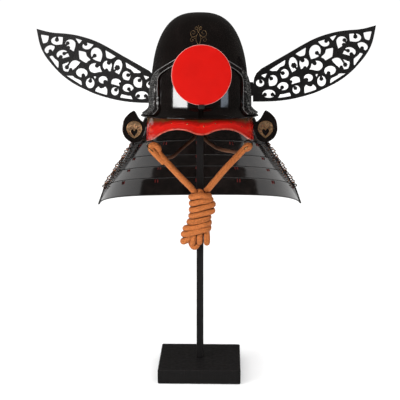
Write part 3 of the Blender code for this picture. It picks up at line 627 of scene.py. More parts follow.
class Form:
    """Points, faces and chart coordinates gathered for one mesh."""

    def __init__(self):
        self.points, self.faces, self.chart, self.looks = [], [], [], []

    def add(self, points, faces, chart=None, look=0):
        start = sum(len(block) for block in self.points)
        points = np.asarray(points, float).reshape(-1, 3)
        self.points.append(points)
        self.faces += [tuple(start + k for k in face) for face in faces]
        self.looks += [look] * len(faces)
        self.chart.append(np.zeros((len(points), 2)) if chart is None else np.asarray(chart, float))
        return self

    def rows(self, rows, ring=False, flip=False):
        """An open surface through rows of points."""
        rows = np.asarray(rows, float)
        faces = grid_faces(rows.shape[0], rows.shape[1], ring)
        if flip:
            faces = [face[::-1] for face in faces]
        chart = [(j / rows.shape[1], i / rows.shape[0]) for i in range(rows.shape[0]) for j in range(rows.shape[1])]
        return self.add(rows.reshape(-1, 3), faces, chart)

    def slab(self, front, back):
        """A closed piece between two grids of points of the same shape."""
        front, back = np.asarray(front, float), np.asarray(back, float)
        rows, columns = front.shape[:2]
        size = rows * columns
        faces = grid_faces(rows, columns) + [f[::-1] for f in grid_faces(rows, columns, start=size)]
        rim = list(range(columns)) + [i * columns + columns - 1 for i in range(1, rows)]
        rim += [(rows - 1) * columns + j for j in reversed(range(columns - 1))]
        rim += [i * columns for i in reversed(range(1, rows - 1))]
        faces += [(a, a + size, b + size, b) for a, b in zip(rim, rim[1:] + rim[:1])]
        chart = [(j / columns, i / rows) for i in range(rows) for j in range(columns)] * 2
        return self.add(np.concatenate((front.reshape(-1, 3), back.reshape(-1, 3))), faces, chart)

    def tube(self, line, radius, sides=10, closed=False, flat=1.0, facing=None, relief=None, look=0):
        """A tube along a line. flat squeezes it towards the facing direction, and relief(along, turn) swells it."""
        line = np.asarray(line, float)
        count = len(line)
        ways = np.roll(line, -1, 0) - np.roll(line, 1, 0) if closed else np.gradient(line, axis=0)
        ways /= np.linalg.norm(ways, axis=1)[:, None] + 1e-12
        along = np.concatenate(([0], np.cumsum(np.linalg.norm(np.diff(line, axis=0), axis=1))))
        side = np.cross(ways[0], (0, 0, 1) if abs(ways[0][2]) < 0.9 else (0, 1, 0))
        points, chart = [], []
        radii = np.broadcast_to(radius, count)
        facing = None if facing is None else np.broadcast_to(np.asarray(facing, float), (count, 3))
        for k in range(count):
            if facing is not None:
                side = np.cross(facing[k], ways[k])
            side = side - ways[k] * np.dot(side, ways[k])
            side = side / (np.linalg.norm(side) + 1e-12)
            up = np.cross(ways[k], side)
            for j in range(sides):
                turn = 2 * math.pi * j / sides
                out = radii[k] + (relief(along[k], turn) if relief else 0)
                points.append(line[k] + out * (math.cos(turn) * side + math.sin(turn) * flat * up))
                chart.append((along[k] * 100, j / sides * 4))
        return self.add(points, tube_faces(count, sides, closed), chart, look)

    def lathe(self, centre, profile, sides, edge):
        """A turned piece about the -Y axis. profile is (radius, forward) from its front middle to its back, and the
        steps of it in the range edge have the second finish."""
        x, y, z = centre
        turns = [2 * math.pi * j / sides for j in range(sides)]
        rows = np.array([
            [(x + radius * math.sin(t), y - forward, z + radius * math.cos(t)) for t in turns]
            for radius, forward in profile
        ])
        self.add(rows.reshape(-1, 3), tube_faces(len(rows), sides))
        for k in edge:
            self.looks[k * sides:(k + 1) * sides] = [1] * sides
        return self

    def object(self, name, *looks, slot="black_lacquer", sharp=80, helmet=True, replaces=()):
        """The finished piece, from points of the helmet's own frame or of the world."""
        points = np.concatenate(self.points)
        points = in_world(points) if helmet else points
        mesh = bpy.data.meshes.new(name)
        mesh.from_pydata(points.tolist(), [], self.faces)
        chart = np.concatenate(self.chart)
        layer = mesh.uv_layers.new(name="UVMap")
        corners = np.zeros(len(mesh.loops), dtype=np.int32)
        mesh.loops.foreach_get("vertex_index", corners)
        layer.data.foreach_set("uv", chart[corners].astype(np.float32).ravel())
        obj = placed(mesh, name, looks, sharp, replaces)
        mesh.polygons.foreach_set("material_index", self.looks)
        return obj


def dressed(node, look, bevel):
    """Give a node of the solid part, kept as it is, a finish and softened edges."""
    obj = NODES[node]
    obj.data.materials.clear()
    obj.data.materials.append(finish(look))
    soften(obj, bevel)


def soften(obj, width):
    """Round a piece's edges."""
    weld = obj.modifiers.new("weld", "WELD")
    weld.merge_threshold = 0.00002
    bevel = obj.modifiers.new("edges", "BEVEL")
    bevel.width = width
    bevel.segments = 2
    bevel.limit_method = "ANGLE"
    bevel.angle_limit = math.radians(EDGE_ANGLE)
    bevel.harden_normals = True


def thicken(obj, wall):
    """Give a surface its wall, on the inside."""
    shell = obj.modifiers.new("wall", "SOLIDIFY")
    shell.thickness = wall
    shell.offset = -1


def bowl_point(angle, height, lift=0.0):
    """A point of the bowl's outer face, at an angle from the front and a height above the flare."""
    if height >= 0:
        share = max(0.0, 1 - (min(height, DOME_HEIGHT) / DOME_HEIGHT) ** SIDE_ROUNDNESS)
        round_in, flare = share ** (1 / PLAN_ROUNDNESS), 0.0
    else:
        round_in, flare = 1.0, FLARE_OUT * (-height / FLARE_HEIGHT) ** FLARE_CURVE
    across = HALF_WIDTH * round_in + flare
    along = HALF_LENGTH * round_in + flare
    point = np.array((across * math.sin(angle), -along * math.cos(angle), height + FLARE_HEIGHT))
    return point + lift * bowl_normal(angle, height) if lift else point


def bowl_normal(angle, height):
    small = 1e-4
    around = bowl_point(angle + small, height) - bowl_point(angle - small, height)
    up = bowl_point(angle, min(height + small, DOME_HEIGHT - small)) - bowl_point(angle, height - small)
    normal = np.cross(around, up)
    return normal / np.linalg.norm(normal)


def peak_point(share, down, lift=0.0):
    """A point of the brow plate's outer face: across it from -1 to 1, and down it from 0 to 1."""
    angle = math.radians(PEAK_END * share)
    edge = float(np.interp(abs(share), *PEAK_LINE))
    front = math.cos(angle) ** PEAK_FOCUS
    bulge = BROW_OUT * math.exp(-(((down - BROW_DOWN) / BROW_SPREAD) ** 2))
    bulge *= math.sin(math.pi * min(1, abs(share) * 1.1)) ** 0.5
    out = PEAK_REACH * front * down**PEAK_CURVE - PEAK_INSET + bulge + lift
    across, along = HALF_WIDTH + FLARE_OUT + out, HALF_LENGTH + FLARE_OUT + out
    drop = PEAK_TOP + (PEAK_DROP * edge - PEAK_TOP) * down
    return np.array((across * math.sin(angle), -along * math.cos(angle), -drop))


PEAK_LINE = smooth_rows(PEAK_EDGE, 4).T


def guard_point(level, share, lift=0.0):
    """A point of the guard's outer face, at a level from 0 at the rim to 5, from the left front end to the right."""
    _, down, widening, lengthening, droop = (np.interp(level, *pair) for pair in GUARD_CURVES)
    half_width = GUARD_HALF_WIDTH + GUARD_WIDENS * widening
    half_length = GUARD_HALF_LENGTH + GUARD_LENGTHENS * lengthening
    drop = GUARD_TOP + GUARD_DEPTH * down
    front = GUARD_FRONT - GUARD_FRONT_BACK * max(0, level - 1) / (LAMES - 1)
    end = math.pi - math.acos(front / (half_length + lift))
    angle = math.pi - share * end
    x, y = (half_width + lift) * math.sin(angle), -(half_length + lift) * math.cos(angle)
    return np.array((x, y, -drop - GUARD_DROOP * droop * (y / half_length) ** 2))


GUARD_CURVES = [(np.array(GUARD_LEVELS).T[0], column) for column in np.array(GUARD_LEVELS).T]


def lame_lift(lame, level):
    """How far the outer face of that lame stands out at a level."""
    return LAME_STEP * (lame + 1 - level) / (1 + LAME_OVERLAP) if lame else 0.0


def on_lame(lame, level, share, off=0.0):
    """A point on a lame's outer face, or inside it by a negative offset."""
    return guard_point(level, share, lame_lift(lame, level) + off)


def plate_loops(node, facing):
    """The outlines of a flat node's face, as (x, z) points in the helmet's frame, the longest one first."""
    mesh = NODES[node].data
    points = in_helmet([v.co for v in mesh.vertices])
    keys, index = {}, []
    for x, y, z in points:
        key = (round(x * 1e5), round(y * 1e5), round(z * 1e5))
        index.append(keys.setdefault(key, len(keys)))
    where = {number: key for key, number in keys.items()}
    edges = {}
    for polygon in mesh.polygons:
        corners = [points[k] for k in polygon.vertices]
        normal = np.cross(corners[1] - corners[0], corners[2] - corners[0])
        if normal[1] * facing < 0.9 * np.linalg.norm(normal):
            continue
        ring = [index[k] for k in polygon.vertices]
        edges.update(dict.fromkeys(zip(ring, ring[1:] + ring[:1])))
    following = {a: b for a, b in edges if (b, a) not in edges}
    loops = []
    while following:
        first, here = next(iter(following.items()))
        loop = [first]
        del following[first]
        while here != first and here in following:
            loop.append(here)
            here = following.pop(here)
        loops.append(np.array([(where[k][0] / 1e5, where[k][2] / 1e5) for k in loop]))
    return sorted(loops, key=lambda loop: -np.ptp(loop[:, 0]))


def rounded(loop, sharp=62, rounds=2):
    """A closed outline with its shallow corners rounded off and its sharp points kept."""
    for _ in range(rounds):
        found = []
        for k in range(len(loop)):
            before, here, after = loop[k - 1], loop[k], loop[(k + 1) % len(loop)]
            a, b = here - before, after - here
            turn = abs(math.degrees(math.atan2(a[0] * b[1] - a[1] * b[0], float(np.dot(a, b)))))
            if turn > sharp or turn < 2:
                found.append(here)
            else:
                found += [here - a * 0.25, here + b * 0.25]
        loop = np.array(found)
    return loop


def flat_plate(name, look, loops, middle, wall, edge, node, slim=1.0):
    """A flat plate that stands for a node, cut from (x, z) outlines, with its middle at that depth. Its edges are
    rounded by that much, and slim is the share of the rounding that goes inwards."""
    curve = bpy.data.curves.new(name + "_cut", "CURVE")
    curve.dimensions = "2D"
    curve.fill_mode = "BOTH"
    curve.extrude = wall / 2 - edge
    curve.bevel_depth = edge
    curve.bevel_resolution = 1
    curve.offset = -edge * slim
    for points in loops:
        spline = curve.splines.new("POLY")
        spline.points.add(len(points) - 1)
        for point, (x, z) in zip(spline.points, points):
            point.co = (x, z, 0, 1)
        spline.use_cyclic_u = True
    cut = bpy.data.objects.new(name + "_cut", curve)
    bpy.context.scene.collection.objects.link(cut)
    bpy.context.view_layer.update()
    mesh = bpy.data.meshes.new_from_object(cut.evaluated_get(bpy.context.evaluated_depsgraph_get()))
    bpy.data.objects.remove(cut)
    bpy.data.curves.remove(curve)
    mesh.name = name
    points = np.array([(v.co.x, middle - v.co.z, v.co.y) for v in mesh.vertices])
    mesh.vertices.foreach_set("co", in_world(points).astype(np.float32).ravel())
    mesh.materials.clear()
    return placed(mesh, name, (look,), EDGE_ANGLE, (node,))


def heart(width, count=48):
    """A heart's outline of that width, point down and a little taller than wide."""
    found = []
    for k in range(count):
        t = 2 * math.pi * (k + 0.5) / count
        x = 16 * math.sin(t) ** 3
        z = 13 * math.cos(t) - 5 * math.cos(2 * t) - 2 * math.cos(3 * t) - math.cos(4 * t)
        found.append((x, z * 1.32 - 2.0))
    return np.array(found) * width / 32


# ---------------------------------------------------------------- pieces


# The camera that fits the photograph, and the white dome round everything
CAMERA_PLACE, CAMERA_TILT, CAMERA_PAN = (-0.0597, -2.4403, 0.8817), math.radians(78.605), math.radians(-1.4)
CAMERA_LENS, CAMERA_SENSOR = 102.8, 36.0
DOME_RADIUS, DOME_WHITE, FLOOR_LEVEL = 9, 1.05, -0.0004
WORLD_TINT, WORLD_STRENGTH = (1.0, 0.97, 0.93, 1), 0.05
# Area lights: place, aim, width and height, setting and share of it, tint
AREAS = {
    "soft_box": ((-1.15, -0.96, 0.71), (-0.05, -0.10, 0.62), (1.0, 0.26), "soft_box", 1, (1, 1, 1)),
    "cool_box": ((1.24, -0.70, 0.67), (0.05, -0.10, 0.62), (0.5, 0.14), "soft_box", 0.2, (0.72, 0.84, 1)),
    "fill_front": ((-0.4, -3.2, 1.7), (0, 0, 0.5), (1.6, 1.4), "fill", 0.62, (1, 1, 1)),
    "floor_gleam": ((0, 1.45, 0.001), (0, 1.45, 1), (3.0, 2.5), "gleam", 1, (1, 1, 1)),
}


def joined(name, data, turn=(0, 0, 0), place=(0, 0, 0)):
    """An object of the studio, put in the scene."""
    obj = bpy.data.objects.new(name, data)
    obj.location, obj.rotation_euler = place, turn
    bpy.context.scene.collection.objects.link(obj)
    return obj


class KABUTO_OT_studio(Operator):
    """Set up the floor, the soft light and the camera"""

    bl_idname = "kabuto.studio"
    bl_label = "Studio"

    def execute(self, context):
        scene = context.scene
        scene.view_settings.view_transform = "Standard"
        scene.world = bpy.data.worlds.new("studio")
        scene.world.use_nodes = True
        background = scene.world.node_tree.nodes["Background"].inputs
        background["Color"].default_value = WORLD_TINT
        background["Strength"].default_value = WORLD_STRENGTH

        floor = bpy.data.meshes.new("floor")
        corners = [(x * DOME_RADIUS, y * DOME_RADIUS, FLOOR_LEVEL) for x, y in ((-1, -1), (1, -1), (1, 1), (-1, 1))]
        floor.from_pydata(corners, [], [(0, 1, 2, 3)])
        floor.materials.append(finish("studio_floor"))
        floor = joined("floor", floor)
        floor.visible_glossy = False
        backdrop = joined("backdrop", self.dome())
        backdrop.visible_glossy = backdrop.visible_diffuse = backdrop.visible_shadow = False
        backdrop.visible_transmission = False
        self.lights()

        lens = bpy.data.cameras.new("camera")
        lens.lens, lens.sensor_width = CAMERA_LENS, CAMERA_SENSOR
        scene.camera = joined("camera", lens, (CAMERA_TILT, 0, CAMERA_PAN), CAMERA_PLACE)
        return {"FINISHED"}

    def dome(self):
        """A ball of plain white light, which only the camera sees."""
        points = []
        for up in np.radians(range(-90, 91, 15)):
            for turn in np.linspace(0, 2 * math.pi, 33):
                way = (math.cos(up) * math.cos(turn), math.cos(up) * math.sin(turn), math.sin(up))
                points.append([DOME_RADIUS * value for value in way])
        mesh = bpy.data.meshes.new("backdrop")
        mesh.from_pydata(points, [], grid_faces(13, 33))
        white = Finish("backdrop_white", Base_Color=(0, 0, 0, 1), Specular_IOR_Level=0)
        white.shader.inputs["Emission Color"].default_value = (1, 1, 1, 1)
        white.shader.inputs["Emission Strength"].default_value = DOME_WHITE
        mesh.materials.append(white.material)
        return mesh

    def lights(self):
        studio = settings().studio
        for name, (place, aim, size, setting, share, tint) in AREAS.items():
            lamp = bpy.data.lights.new(name, "AREA")
            lamp.shape = "RECTANGLE"
            lamp.size, lamp.size_y = size
            lamp.energy = getattr(studio, setting) * share * math.pi * lamp.size * lamp.size_y
            lamp.color = tint
            x, y, z = np.subtract(aim, place)
            lamp = joined(name, lamp, (math.atan2(math.hypot(x, y), -z), 0, -math.atan2(x, y)), place)
            lamp.visible_glossy = setting != "fill"
            lamp.visible_diffuse = setting != "gleam"
        above = bpy.data.lights.new("fill_above", "SUN")
        above.energy = studio.fill
        above.angle = math.radians(100)
        joined("fill_above", above, (math.radians(12), 0, 0)).visible_glossy = False


def braid(pitch, height):
    """How far a braided cord's strands swell its surface, from the length along it and the turn round it."""

    def swell(along, turn):
        a = math.sin(math.pi * along / pitch + 2 * turn)
        b = math.sin(math.pi * along / pitch - 2 * turn)
        return height * (max(abs(a), abs(b)) - 0.85)

    return swell


def hank_line():
    """The chin cord's whole way as one smooth line."""
    wraps = []
    middle, back, front = HANK_MIDDLE
    for left, centre, right, out_left, out_right in HANK_WRAPS:
        wraps += [
            (middle - out_left, -0.0300, left - 0.0010),
            (middle - out_left + 0.0025, -0.0400, left),
            (middle - 0.0080, front, left * 0.45 + centre * 0.55),
            (middle, front - 0.0010, centre),
            (middle + 0.0080, front, right * 0.45 + centre * 0.55),
            (middle + out_right - 0.0015, -0.0400, right),
            (middle + out_right, -0.0310, right + 0.0010),
            (middle + 0.0110, -0.0205, right + 0.0030),
            (middle, back, right + 0.0040),
            (middle - 0.0110, -0.0195, right + 0.0040),
        ]
    wraps = wraps[:-2]
    points = LEFT_TAIL + LEFT_STRAND + HANK_PATH + wraps + HANK_TOP_TURN + RIGHT_STRAND
    line = evenly(smooth_rows(points, 8), CORD_STEP)
    for _ in range(CORD_SMOOTHING):
        line[1:-1] = 0.25 * line[:-2] + 0.5 * line[1:-1] + 0.25 * line[2:]
    return evenly(line, CORD_STEP)


def corded(name, look, slot, line, thickness, sides, twist, nodes):
    """A braided cord along a line of world points. twist is the braid's pitch and relief."""
    form = Form().tube(line, thickness / 2, sides=sides, relief=braid(*twist))
    obj = form.object(name, look, slot=slot, helmet=False, replaces=nodes)


class KABUTO_OT_chin_cord(Operator):
    """Make the braided chin cord with its hank"""

    bl_idname = "kabuto.chin_cord"
    bl_label = "Chin cord"

    def execute(self, context):
        cords = settings().cords
        corded(
            "chin_cord", "tan_braid", "orange_cord", hank_line(), cords.chin, 20, (cords.pitch, cords.relief),
            ("cord_left", "cord_right", "cord_hank"),
        )
        return {"FINISHED"}


class KABUTO_OT_rear_cord(Operator):
    """Make the brown cord that runs from the chin cord round the back ring"""

    bl_idname = "kabuto.rear_cord"
    bl_label = "Rear cord"

    def execute(self, context):
        cords = settings().cords
        line = evenly(smooth_rows(REAR_STRAND, 8), 0.002)
        # its dark brown braid paints the cord as lying in shadow
        corded(
            "rear_cord", "brown_braid", "brown_cord", line, cords.rear, 16,
            (cords.pitch * 0.6, cords.relief * 0.7), ("cord_rear_left", "cord_rear_right"),
        )
        return {"FINISHED"}


class KABUTO_OT_bowl(Operator):
    """Make the lacquered bowl with its step and beaded rim"""

    bl_idname = "kabuto.bowl"
    bl_label = "Bowl"

    def execute(self, context):
        sides = 128
        around = [2 * math.pi * j / sides for j in range(sides)]
        rows = [(-FLARE_HEIGHT * (1 - k / 8), 0.0) for k in range(8)]
        rows += [(-0.0006, 0.0), (-0.0003, 0.0007), (0.0006, 0.0009), (0.0013, 0.0006), (0.0017, 0.0)]
        for k in range(1, 33):
            height = DOME_HEIGHT * math.sin(math.pi / 2 * k / 32) ** (2 / SIDE_ROUNDNESS)
            if height > 0.003:
                rows.append((min(height, DOME_HEIGHT * 0.9996), 0.0))
        grid = [[bowl_point(a, height, lift) for a in around] for height, lift in rows]
        form = Form().rows(grid, ring=True)
        form.faces.append(tuple((len(rows) - 1) * sides + j for j in range(sides)))
        form.looks.append(0)
        thicken(form.object("lacquered_bowl", "bowl_lacquer", sharp=40, replaces=("bowl",)), BOWL_WALL)
        rim = [bowl_point(a, -FLARE_HEIGHT, 0.0002) for a in around]
        bead = Form().tube(rim, settings().helmet.bead, closed=True)
        bead.object("bowl_bead", "bowl_lacquer")
        return {"FINISHED"}


def band_row(row, full, profile):
    """Points across the raised band at one step of its path, for (share of its width, share of its height)."""
    inner_angle, inner_height, outer_angle, outer_height = row
    found = []
    for share, lift in profile:
        angle = math.radians(inner_angle + share * (outer_angle - inner_angle))
        height = DOME_HEIGHT * (inner_height + share * (outer_height - inner_height))
        found.append(bowl_point(angle, height, BAND_LIFT + full * (0.35 + 0.65 * lift)))
    return found


class KABUTO_OT_brow_band(Operator):
    """Make the raised band over the brow, with the iron relief down its sides"""

    bl_idname = "kabuto.brow_band"
    bl_label = "Brow band"

    def execute(self, context):
        path = smooth_rows(BAND_PATH, 6)
        path = [row * np.array((-1, 1, -1, 1)) for row in reversed(path[1:])] + list(path)
        full = settings().helmet.band
        face = [band_row(row, full, BAND_PROFILE) for row in path]
        back = [band_row(row, 0.0, BAND_PROFILE) for row in path]
        Form().slab(back, face).object("lacquered_band", "bowl_lacquer", sharp=50, replaces=("brow_band",))
        lines = Form()
        for share in (0.06, 0.94):
            lines.tube([band_row(row, full, [(share, 1.05)])[0] for row in path], BAND_LINE, sides=6)
        lines.object("band_lines", "edge_line")
        seed = random.Random(7)
        rows = [row for row in smooth_rows(BAND_PATH, 10) if row[3] < RELIEF_TOP]
        for side, name in ((-1, "left"), (1, "right")):
            self.relief([row * np.array((side, 1, side, 1)) for row in rows], side, name, full, seed)
            # both sets of leaves follow the rows of the right side
            self.leaves(rows, name, full)
        return {"FINISHED"}

    def relief(self, rows, side, name, full, seed):
        """The worn ground of the relief, which grows rougher over its first dozen rows."""
        last = 18
        shares = [0.30 + 0.62 * k / last for k in range(last + 1)]
        face, under = [], []
        for i, row in enumerate(rows):
            fade = min(1.0, i / 12)
            lifts = [0.60 + fade * seed.uniform(-0.05, 1.1) * (0 < k < last) for k in range(last + 1)]
            face.append(band_row(row, full, zip(shares, lifts)))
            under.append(band_row(row, full, [(share, 0.2) for share in shares]))
        relief = Form().slab(under, face) if side > 0 else Form().slab(face, under)
        relief.object(f"band_relief_{name}", "relief_iron", sharp=70)

    def leaves(self, rows, name, full):
        """Two ropes along the relief's sides and two vines that cross between them."""
        form = Form()
        for low in (0.34, 0.88):
            rope = [band_row(row, full, [(low + 0.02 * (k % 2), 1.7)])[0] for k, row in enumerate(rows)]
            form.tube(rope, ROPE_RADIUS, 6)
        for swing in (-0.21, 0.21):
            vine = []
            for k, row in enumerate(rows):
                turn = 0.75 * k
                vine += band_row(row, full, [(0.62 + swing * math.sin(turn), 1.5 + 0.7 * math.cos(turn))])
            form.tube(vine, VINE_RADIUS, 6)
        form.object(f"band_leaves_{name}", "leaf_iron", sharp=70)


class KABUTO_OT_brow_plate(Operator):
    """Make the red brow plate with its rolled edge and rivets"""

    bl_idname = "kabuto.brow_plate"
    bl_label = "Brow plate"

    def execute(self, context):
        shares = np.linspace(-1, 1, 97)
        rows = [[peak_point(share, 1 - k / 24) for share in shares] for k in range(25)]
        plate = Form().rows(rows)
        thicken(
            plate.object("red_brow_plate", "brow_lacquer", slot="red_lacquer", sharp=40, replaces=("brow_plate",)),
            PEAK_WALL,
        )
        edge = [peak_point(share, 1.0, -0.0008) for share in shares]
        Form().tube(edge, 0.0017).object("brow_plate_edge", "brow_edge", slot="red_lacquer")
        rivets = Form()
        radius = settings().helmet.rivet
        for share, down in RIVETS:
            here = peak_point(share, down)
            around = peak_point(share + 0.01, down) - peak_point(share - 0.01, down)
            up = peak_point(share, down - 0.01) - peak_point(share, down + 0.01)
            normal = np.cross(around, up)
            normal /= np.linalg.norm(normal)
            steps = np.linspace(0, math.pi / 2, 6)[:-1]
            line = [here + normal * radius * 0.55 * math.sin(t) for t in steps]
            rivets.tube(line, [radius * math.cos(t) for t in steps], sides=14)
        rivets.object("brow_rivets", "rivet_brass", slot="gilt", sharp=60)
        return {"FINISHED"}


class KABUTO_OT_crest(Operator):
    """Make the round red crest and finish its clip"""

    bl_idname = "kabuto.crest"
    bl_label = "Crest"

    def execute(self, context):
        half, rim, dome = DISC_WALL / 2, DISC_RADIUS, 0.0006
        profile = [(0.0008, half + dome)]
        profile += [(rim * k / 12, half + dome * (1 - (k / 12) ** 2)) for k in range(1, 12)]
        profile += [(rim - 0.0006, half), (rim - 0.0001, half - 0.0004), (rim, half - 0.0009)]
        profile += [(rim, 0.0009 - half), (rim - 0.0005, -half), (rim * 0.5, -half), (0.0008, -half)]
        # steps 12 to 15 are the rounded rim, which takes the pale finish: a painted highlight
        form = Form().lathe((0, DISC_FACE, DISC_FOOT + rim), profile, 128, edge=range(12, 16))
        form.object("round_crest", "crest_red", "crest_edge", slot="red_lacquer", sharp=40, replaces=("crest_disc",))
        dressed("crest_clip", "flat_black", 0.0005)
        return {"FINISHED"}


class KABUTO_OT_wings(Operator):
    """Make the pierced wings and finish their sockets"""

    bl_idname = "kabuto.wings"
    bl_label = "Wings"

    def execute(self, context):
        for name in ("left", "right"):
            node = f"wing_{name}"
            loops = [rounded(loop) for loop in plate_loops(node, -1)]
            low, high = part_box(node)
            middle = in_helmet([(low + high) / 2])[0][1]
            flat_plate(
                f"pierced_{node}", "flat_black", loops, middle, WING_WALL, 0.0005, node, slim=0.1
            )
            dressed(f"wing_socket_{name}", "flat_black", 0.0008)
        return {"FINISHED"}


class KABUTO_OT_turnbacks(Operator):
    """Make the turnbacks with their raised rims and pierced plaques"""

    bl_idname = "kabuto.turnbacks"
    bl_label = "Turnbacks"

    def execute(self, context):
        square = TURNBACK_HEIGHT / 100
        right_half = [(w * PLAQUE_HEIGHT / 100, z * PLAQUE_HEIGHT / 100) for w, z in PLAQUE_EDGE]
        oval = smooth_rows(right_half + [(-x, z) for x, z in reversed(right_half[1:-1])], 6, closed=True)
        for side, name in ((-1, "left"), (1, "right")):
            centre = np.array((side * TURNBACK_ACROSS, -TURNBACK_DROP))
            edge = smooth_rows(TURNBACK_EDGE, 5, closed=True) * square * (side, 1) + centre
            middle = TURNBACK_FRONT + TURNBACK_WALL / 2
            flat_plate(
                f"lacquered_turnback_{name}", "bowl_lacquer", [edge], middle, TURNBACK_WALL,
                0.0005, f"turnback_{name}",
            )
            inner = (edge - centre) * TURNBACK_RIM + centre
            rim = Form().tube([(x, TURNBACK_FRONT - 0.0001, z) for x, z in inner], 0.0013, 8, closed=True)
            rim.object(f"turnback_rim_{name}", "bowl_lacquer")

            face = TURNBACK_FRONT - 0.0003 - PLAQUE_WALL
            hole = heart(HEART_WIDTH) + centre - (0, HEART_DROP)
            flat_plate(
                f"gilt_plaque_{name}", "dark_gilt", [oval + centre, hole], face + PLAQUE_WALL / 2,
                PLAQUE_WALL, 0.0003, f"plaque_{name}",
            )
            trim = Form()
            for line in (oval * 0.95 + centre, hole):
                trim.tube([(x, face, z) for x, z in line], 0.0008, 8, closed=True)
            for k in range(PETALS):
                turn = math.radians(28 * k - 112)
                way = np.array((math.sin(turn), math.cos(turn)))
                root = centre - (0, HEART_DROP) + way * (0.0085, 0.0095)
                self.petal(trim, root, way, 0.0046 + 0.0032 * max(0, way[1]), face)
            trim.object(f"plaque_relief_{name}", "worn_gilt", slot="gilt", sharp=60)
        return {"FINISHED"}

    def petal(self, form, root, way, reach, face):
        """A pointed petal with a ridge down its middle."""
        across = np.array((-way[1], way[0]))
        rows = []
        for i in range(9):
            t = i / 8
            half = PETAL_WIDTH * (math.sin(math.pi * min(1, t * 0.97 + 0.03)) ** 0.7) / 2 + 0.0001
            rise = PETAL_RISE * math.sin(math.pi * (t * 0.9 + 0.05))
            row = []
            for s in (-1, -2 / 3, -1 / 3, 0, 1 / 3, 2 / 3, 1):
                x, z = root + way * reach * t + across * half * s
                row.append((x, face - rise * (1 - abs(s)) ** 0.6, z))
            rows.append(row)
        form.rows(rows, flip=np.cross(np.append(way, 0), np.append(across, 0))[2] > 0)


class KABUTO_OT_neck_guard(Operator):
    """Make the five lacquered lames of the neck guard"""

    bl_idname = "kabuto.neck_guard"
    bl_label = "Neck guard"

    def execute(self, context):
        wall = LAME_WALL * LAME_SLANT
        for n in range(LAMES):
            top = n - LAME_OVERLAP if n else 0.0
            levels = list(np.linspace(n + 1, top, 9))
            shares = np.linspace(-1, 1, 97)
            outer = [[on_lame(n, level, share) for share in shares] for level in levels]
            inner = [[on_lame(n, level, share, -wall) for share in shares] for level in levels]
            form = Form().slab(inner, outer)
            soften(
                form.object(f"lame_{n + 1}", "guard_lacquer", sharp=40, replaces=(f"neck_lame_{n + 1}",)), 0.0005
            )
            edge = Form().tube([on_lame(n, n + 1 - 0.004, share, -wall / 2) for share in shares], 0.0013, 8)
            for side in (-1, 1):
                end = [on_lame(n, level, side, -wall / 2) for level in np.linspace(n + 1, n + 0.1, 9)]
                edge.tube(end, 0.0017, 8)
            edge.object(f"lame_edge_{n + 1}", "bowl_lacquer")
            # a pale thin tube inside each lame's lower edge: a painted highlight along it
            line = [on_lame(n, n + 0.985, share, -wall - 0.0006) for share in shares]
            Form().tube(line, 0.0005, 6).object(f"lame_line_{n + 1}", "lame_line")
        return {"FINISHED"}


# The way of a strip of lacing outside and inside: whether on the next lame, level and height over the face
STRIP_OUTSIDE = [
    (0, 0.58, -0.0010), (0, 0.60, 0.0010), (0, 0.68, 0.0010), (1, 0.79, 0.0012), (1, 0.84, 0.0014),
    (1, 1.00, 0.0010), (1, 1.16, 0.0010), (1, 1.22, 0.0008), (1, 1.24, -0.0010),
]
STRIP_INSIDE = [(1, 1.05, 0.0005), (1, 1.07, -0.0008), (1, 1.16, -0.0010), (1, 1.23, -0.0008), (1, 1.25, 0.0005)]
STRIP_THICK = 0.0011
# How far a loop of the edging reaches out from the lame and down along it
LOOP_OUT, LOOP_DOWN = 0.0042, 0.0030


class KABUTO_OT_lacing(Operator):
    """Lace the lames together in pairs of strips, and edge their front ends"""

    bl_idname = "kabuto.lacing"
    bl_label = "Lacing"

    def execute(self, context):
        helmet = settings().helmet
        outside, inside, edging = Form(), Form(), Form()
        for n in range(LAMES - 1):
            for share in np.linspace(-0.9, 0.9, helmet.columns):
                reach = np.linalg.norm(on_lame(n, n + 0.8, share + 0.01) - on_lame(n, n + 0.8, share)) / 0.01
                for side in (-0.5, 0.5):
                    at = share + side * helmet.pair / reach
                    self.strip(outside, n, at, STRIP_OUTSIDE, 0.0, helmet.strip)
                    self.strip(inside, n, at, STRIP_INSIDE, -LAME_WALL * LAME_SLANT, helmet.strip * 0.8)
            for side in (-1, 1):
                for k, down in enumerate(np.linspace(0.14, 0.98, 6) if n else np.linspace(0.40, 0.95, 4)):
                    self.edge_loop(edging, n, n + down, side, k)
        outside.object("guard_lacing", "red_lacing")
        inside.object("guard_stitches", "red_lacing")
        edging.object("guard_edging", "tan_lacing", "brown_lacing", slot="orange_cord")
        return {"FINISHED"}

    def strip(self, form, n, share, way, face, width):
        """A flat strip of lacing. way has the lame, the level and the height over that face of each point."""
        line = smooth_rows([on_lame(n + lame, n + level, share, face + off) for lame, level, off in way], 3)
        out = line.mean(axis=0) * (1, 1, 0)
        form.tube(line, width / 2, 8, flat=STRIP_THICK / width, facing=-out)

    def edge_loop(self, form, lame, level, side, k):
        """A loop of lacing that stands out from a lame's front end, with a twist of lacing in front and a tail."""
        down = on_lame(lame, level + 0.02, side) - on_lame(lame, level - 0.02, side)
        down /= np.linalg.norm(down)
        out = np.array((side * 0.9, -0.1, 0.45))
        out -= down * np.dot(out, down)
        out /= np.linalg.norm(out)
        middle = on_lame(lame, level, side * 0.978, 0.0014) + out * (0.0014 * (k % 2) - 0.0006)
        loop = circle(middle, out * LOOP_OUT, down * LOOP_DOWN, 14, lean=0.5)
        # the loop and its tail take the edging's tan at a tenth, which is painted shade; the twist in front keeps
        # the full tan
        form.tube(loop, 0.0012, 6, closed=True, look=1)
        form.tube(np.array(loop[k % 3:k % 3 + 8]) + (0, -0.0009, 0), 0.0009, 6)
        tail = [middle - out * LOOP_OUT, middle - out * 0.0070 + down * 0.0016, middle - out * 0.0095]
        form.tube(tail, 0.0011, 6, look=1)


